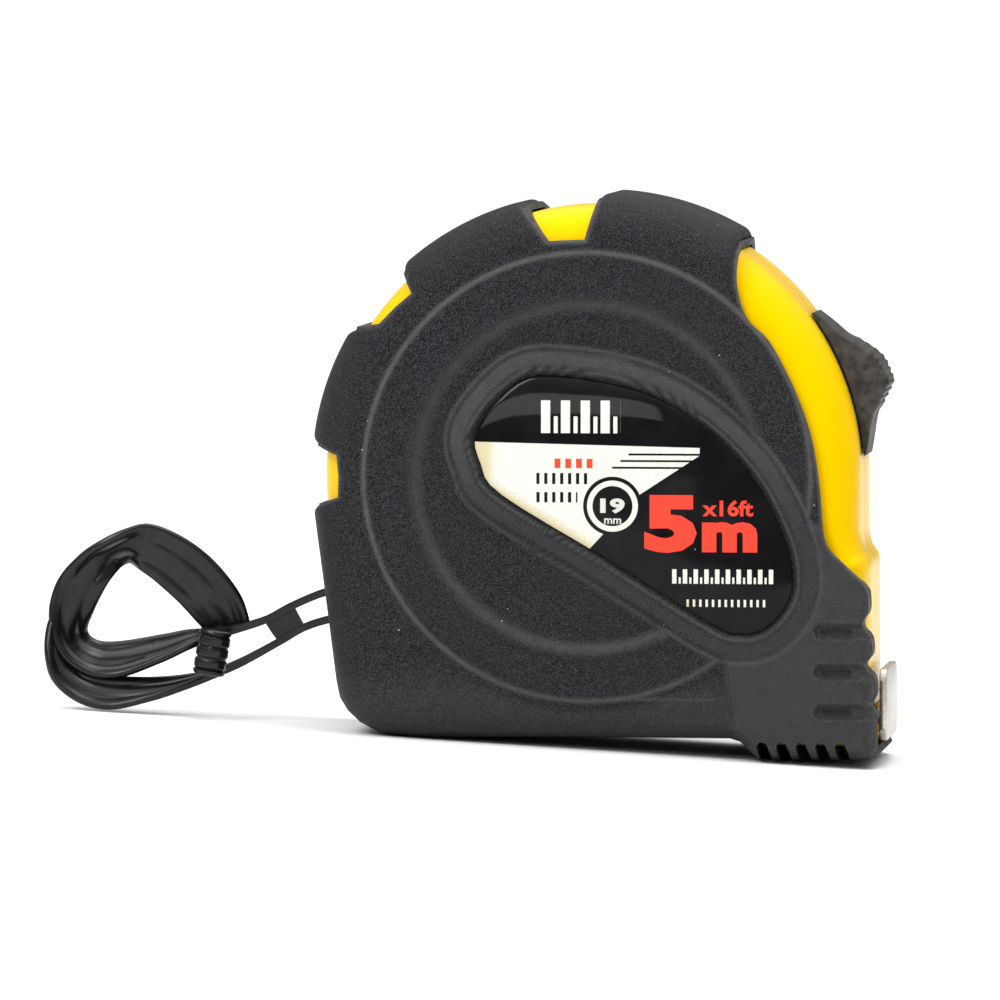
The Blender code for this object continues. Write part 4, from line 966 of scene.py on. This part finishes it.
# ---- belt clip ----
def make_clip():
    """A bent spring strip with rounded ends and softened edges."""
    pad, arm = 16.6, 20.9
    path = [(pad, 54.0), (pad, 49.5), (pad, 46.5), (pad + 0.7, 45.0), (18.8, 42.9), (arm - 0.6, 41.2),
            (arm, 39.3), (arm, 34.0), (arm, 27.0), (arm, 20.0), (arm, 16.0), (arm + 0.5, 13.4), (22.3, 11.5)]
    smooth = catmull(path, 4, False)
    rows = []
    length = len(smooth)
    for i, (y, z) in enumerate(smooth):
        along = smooth[min(i + 1, length - 1)] - smooth[max(i - 1, 0)]
        along /= np.linalg.norm(along)
        normal = np.array((-along[1], along[0]))
        from_end = min(np.linalg.norm(smooth[i] - smooth[0]), np.linalg.norm(smooth[i] - smooth[-1]))
        half = 7.5 - 2.2 * (1.0 - math.sqrt(1.0 - (1.0 - min(from_end / 2.2, 1.0)) ** 2))
        ring = []
        for side_x, out in ((-1, -1), (-1, 1), (1, 1), (1, -1)):
            for wide, thick in ((half - 0.22, 0.5), (half, 0.28)):
                spot = np.array((y, z)) + normal * thick * out
                ring.append((side_x * wide, spot[0], spot[1]))
        rows.append(order_ring(ring, (0.0, y, z)))
    mesh = solid_mesh(*closed_grid(rows))
    mesh = carved(mesh, [round_mesh([(CLIP_SCREW_HOLE, 15.0), (CLIP_SCREW_HOLE, 18.5)], CLIP_SCREW)])
    add_mesh("bent_belt_clip", mesh, BLUED, "housing", ("belt_clip",), 35.0)


def order_ring(ring, middle):
    """The ring's points sorted round their middle, so that no edge crosses another."""
    ring = np.array(ring)
    wide = ring[:, 0] - middle[0]
    across = ring[:, 1:] - np.array(middle[1:])
    main = across[np.argmax(np.linalg.norm(across, axis=1))]
    main = main / np.linalg.norm(main)
    thick = across @ main
    return ring[np.argsort(np.arctan2(thick, wide))]


make_clip()


def screw_head(name, radius, low, high, centre, node):
    """A domed screw with a cross slot."""
    profile = [(1.0, low - 6.0), (1.0, low), (radius, low), (radius, high - 0.45)]
    profile += [(radius - 0.15, high - 0.2), (radius - 0.5, high - 0.05), (0.4, high)]
    mesh = round_mesh(profile, centre)
    x, z = centre
    cross = []
    for wide, tall in ((0.55 * radius, 0.16 * radius), (0.16 * radius, 0.55 * radius)):
        bar = [(x - wide, z - tall), (x + wide, z - tall), (x + wide, z + tall), (x - wide, z + tall)]
        cross.append(prism_mesh(bar, high - 0.5, high + 1.0))
    add_mesh(name, carved(mesh, cross), PLATED, "housing", (node,), 30.0)


for number, spot in enumerate(SCREW_SPOTS, 1):
    screw_head("cross_head_screw_%d" % number, 2.0, 12.6, 14.0, spot, "shell_screw_%d" % number)
screw_head("belt_clip_cross_screw", 2.8, 17.4, 18.9, CLIP_SCREW, "belt_clip_screw")


# ---- wrist strap: middle of the band (x, y, z), then half of its width as a vector, in metres ----
UPPER_BAND = ((-0.0274, 0.0000, 0.0212, 0.0000, 0.0007, 0.0000),
              (-0.0310, 0.0000, 0.0209, 0.0000, 0.0007, 0.0000),
              (-0.0349, 0.0000, 0.0202, 0.0000, 0.0007, 0.0000),
              (-0.0390, 0.0000, 0.0185, 0.0000, 0.0007, 0.0000),
              (-0.0424, 0.0000, 0.0167, 0.0000, 0.0007, 0.0000),
              (-0.0465, 0.0000, 0.0154, 0.0000, 0.0008, 0.0001),
              (-0.0496, 0.0000, 0.0147, 0.0000, 0.0011, 0.0004),
              (-0.0525, 0.0003, 0.0140, 0.0000, 0.0019, 0.0010),
              (-0.0560, 0.0008, 0.0128, 0.0002, 0.0024, 0.0016),
              (-0.0613, 0.0012, 0.0114, 0.0001, 0.0024, 0.0021),
              (-0.0650, 0.0012, 0.0116, 0.0005, 0.0026, 0.0019),
              (-0.0675, 0.0010, 0.0138, 0.0015, 0.0026, 0.0011),
              (-0.0675, 0.0006, 0.0175, 0.0027, 0.0016, 0.0002),
              (-0.0661, 0.0006, 0.0212, 0.0031, 0.0010, -0.0003),
              (-0.0641, 0.0008, 0.0237, 0.0024, 0.0018, -0.0008),
              (-0.0623, 0.0010, 0.0250, 0.0014, 0.0026, -0.0014),
              (-0.0603, 0.0010, 0.0258, 0.0002, 0.0022, -0.0022),
              (-0.0580, 0.0008, 0.0257, -0.0006, 0.0008, -0.0031),
              (-0.0551, 0.0009, 0.0243, -0.0018, 0.0003, -0.0029),
              (-0.0516, 0.0014, 0.0214, -0.0023, 0.0000, -0.0027),
              (-0.0487, 0.0021, 0.0178, -0.0028, 0.0004, -0.0019),
              (-0.0472, 0.0026, 0.0148, -0.0026, 0.0006, -0.0008))
LOWER_BAND = ((-0.0266, 0.0000, 0.0178, 0.0000, 0.0007, 0.0000),
              (-0.0305, 0.0000, 0.0174, 0.0000, 0.0007, 0.0000),
              (-0.0342, 0.0000, 0.0168, 0.0000, 0.0007, 0.0000),
              (-0.0376, 0.0000, 0.0157, 0.0000, 0.0007, 0.0000),
              (-0.0409, 0.0000, 0.0138, 0.0000, 0.0007, 0.0000),
              (-0.0455, 0.0000, 0.0113, 0.0000, 0.0008, 0.0001),
              (-0.0493, 0.0000, 0.0097, 0.0000, 0.0011, 0.0002),
              (-0.0530, -0.0004, 0.0086, 0.0000, 0.0020, 0.0006),
              (-0.0568, -0.0010, 0.0078, 0.0001, 0.0022, 0.0012),
              (-0.0618, -0.0014, 0.0073, 0.0002, 0.0018, 0.0019),
              (-0.0654, -0.0015, 0.0080, 0.0007, 0.0016, 0.0018),
              (-0.0680, -0.0013, 0.0100, 0.0013, 0.0018, 0.0012),
              (-0.0691, -0.0008, 0.0126, 0.0012, 0.0020, 0.0005),
              (-0.0690, 0.0001, 0.0156, 0.0013, 0.0016, 0.0001),
              (-0.0681, 0.0006, 0.0180, 0.0014, 0.0010, 0.0000))
STRAP_THICK_MM = 1.0


def band_rows(keys, steps=9):
    """Sections of a soft flat band with raised edges and two lengthwise grooves."""
    path = catmull(np.array(keys) * PER_METRE, steps, False)
    rows = []
    shares = np.array((-0.97, -0.88, -0.74, -0.56, -0.42, -0.30, 0.0, 0.30, 0.42, 0.56, 0.74, 0.88, 0.97))
    heights = np.array((0.34, 0.5, 0.5, 0.42, 0.24, 0.42, 0.46, 0.42, 0.24, 0.42, 0.5, 0.5, 0.34))
    last = len(path) - 1
    for i, point in enumerate(path):
        along = path[min(i + 1, last)][:3] - path[max(i - 1, 0)][:3]
        middle, half = point[:3], point[3:]
        normal = np.cross(along, half)
        normal /= np.linalg.norm(normal)
        wide = np.linalg.norm(half)
        relief = 0.5 + (heights - 0.5) * min(max((wide - 0.9) / 1.0, 0.25), 1.0)
        top = [middle + half * s + normal * h * STRAP_THICK_MM for s, h in zip(shares, relief)]
        under = [middle + half * s - normal * h * STRAP_THICK_MM for s, h in zip(shares[::-1], relief[::-1])]
        rows.append(np.array(top + [middle + half] + under + [middle - half]))
    return rows


def make_strap():
    """The moulded strap: an eye, a ladder of two rails with a web, and a loop of ribbed band."""
    parts = [solid_mesh(*closed_grid(band_rows(UPPER_BAND))), solid_mesh(*closed_grid(band_rows(LOWER_BAND)))]
    web = [(-42.6, 16.4), (-40.8, 17.9), (-39.0, 18.6), (-38.3, 17.3), (-37.5, 15.8), (-39.0, 14.8),
           (-40.9, 13.9), (-41.9, 15.3)]
    parts.append(prism_mesh(web, -0.45, 0.45))
    pin = (STRAP_PIN[0] / MM, STRAP_PIN[1] / MM)
    eye = round_mesh([(2.3, -0.45), (2.3, 0.45)], pin)
    parts.append(carved(eye, [round_mesh([(1.2, -2.0), (1.2, 2.0)], pin)]))
    bm = bmesh.new()
    for part in parts:
        bm.from_mesh(part)
    mesh = bpy.data.meshes.new("strap")
    bm.to_mesh(mesh)
    bm.free()
    strap = add_mesh("moulded_wrist_strap", mesh, PVC, "strap", ("wrist_strap",), 50.0)
    heights = np.linspace(-2.9, 2.9, 42)
    ribs = 2.08 - 0.24 * np.abs(np.cos(math.pi * (heights / 1.45 + 0.5))) ** 14 * (np.abs(heights) < 2.3)
    ribs -= 0.55 * (1.0 - np.sqrt(1.0 - np.clip((np.abs(heights) - 2.5) / 0.42, 0.0, 1.0) ** 2))
    turns = np.arange(36) * math.pi / 18
    rows = [np.column_stack((r * np.cos(turns), r * np.sin(turns), np.full(36, h)))
            for r, h in zip(ribs, heights)]
    lean = math.radians(10.0)
    placed = []
    for row in rows:
        x = row[:, 0] * math.cos(lean) + row[:, 2] * math.sin(lean)
        z = row[:, 2] * math.cos(lean) - row[:, 0] * math.sin(lean)
        placed.append(np.column_stack((x - 48.9, row[:, 1] - 3.6, z + 12.7)))
    toggle = add_mesh("ribbed_strap_toggle", solid_mesh(*closed_grid(placed)), PVC, "strap",
                      ("strap_toggle",), 25.0)
    pairs = list(zip(catmull(np.array(UPPER_BAND)[:12, :3], 4, False),
                     catmull(np.array(LOWER_BAND)[:12, :3], 4, False)))
    route = [tuple((a + b) / 2) for a, b in pairs]
    route += [tuple(p) for p in catmull(np.array(UPPER_BAND)[12:, :3], 4, False)]
    route = [BODY @ Vector(point) for point in route]


make_strap()


# ---- pieces shown as the CAD made them ----
PLAIN = {"drum": POM, "drum_cover": POM, "power_spring": BLUED, "blade_coil": BLADE, "blade_strip": BLADE,
         "spindle": PLATED, "strap_pin": PLATED, "hook_rivet_1": PLATED, "hook_rivet_2": PLATED,
         "brake_arm": NYLON, "brake_pad": RUBBER}
for node, material in PLAIN.items():
    solid = bpy.data.objects[node]
    solid.data.materials.clear()
    solid.data.materials.append(material)
    for face in solid.data.polygons:
        face.material_index = 0


# ---- floor and light ----
WORLD_LEVEL = 0.34
WORLD_TOP = 1.65
LIGHT_AIM = (0.0, 0.0, 0.03)
FLOOR_HALF = 20.0


def add_floor():
    """A wide pale floor, level under the tape."""
    mesh = bpy.data.meshes.new("pale_floor")
    corners = [(x * FLOOR_HALF, y * FLOOR_HALF, 0.0) for x, y in ((-1, -1), (1, -1), (1, 1), (-1, 1))]
    mesh.from_pydata(corners, [], [(0, 1, 2, 3)])
    made = Finish("pale_studio_floor", Roughness=0.9, Specular_IOR_Level=0.0)
    tone = made.noise(3.0, 1.0)
    made.drive("Base Color", made.mix(tone * 0.1, (0.82, 0.82, 0.82), (0.79, 0.79, 0.79)))
    mesh.materials.append(made.material)
    floor = bpy.data.objects.new("pale_floor", mesh)
    bpy.context.scene.collection.objects.link(floor)


def add_area(name, place, size, power):
    """A rectangular soft light turned to the tape."""
    light = bpy.data.lights.new(name, "AREA")
    light.shape = "RECTANGLE"
    light.size, light.size_y = size
    light.energy = power
    lamp = bpy.data.objects.new(name, light)
    lamp.location = place
    lamp.rotation_euler = (Vector(LIGHT_AIM) - Vector(place)).to_track_quat("-Z", "Y").to_euler()
    bpy.context.scene.collection.objects.link(lamp)


def add_world():
    """A white room, brightest overhead."""
    world = bpy.data.worlds.new("soft_white_room")
    world.use_nodes = True
    tree = world.node_tree
    way = tree.nodes.new("ShaderNodeTexCoord").outputs["Generated"]
    split = tree.nodes.new("ShaderNodeSeparateXYZ")
    tree.links.new(way, split.inputs[0])
    strength = WORLD_LEVEL + WORLD_TOP * Wire(tree, split.outputs["Z"]).ramp(0.30, 0.95)
    tree.links.new(strength.socket, tree.nodes["Background"].inputs["Strength"])
    tree.nodes["Background"].inputs["Color"].default_value = (1.0, 1.0, 1.0, 1.0)
    bpy.context.scene.world = world


add_floor()
add_world()
add_area("high_left_softbox", (-0.55, -0.75, 0.85), (0.45, 0.45), 7.5)
add_area("front_strip", (-0.38, -1.45, 0.60), (0.6, 0.35), 3.0)
add_area("top_softbox", (0.15, 0.10, 0.90), (0.6, 0.4), 3.0)

bpy.context.scene.view_settings.view_transform = "Standard"
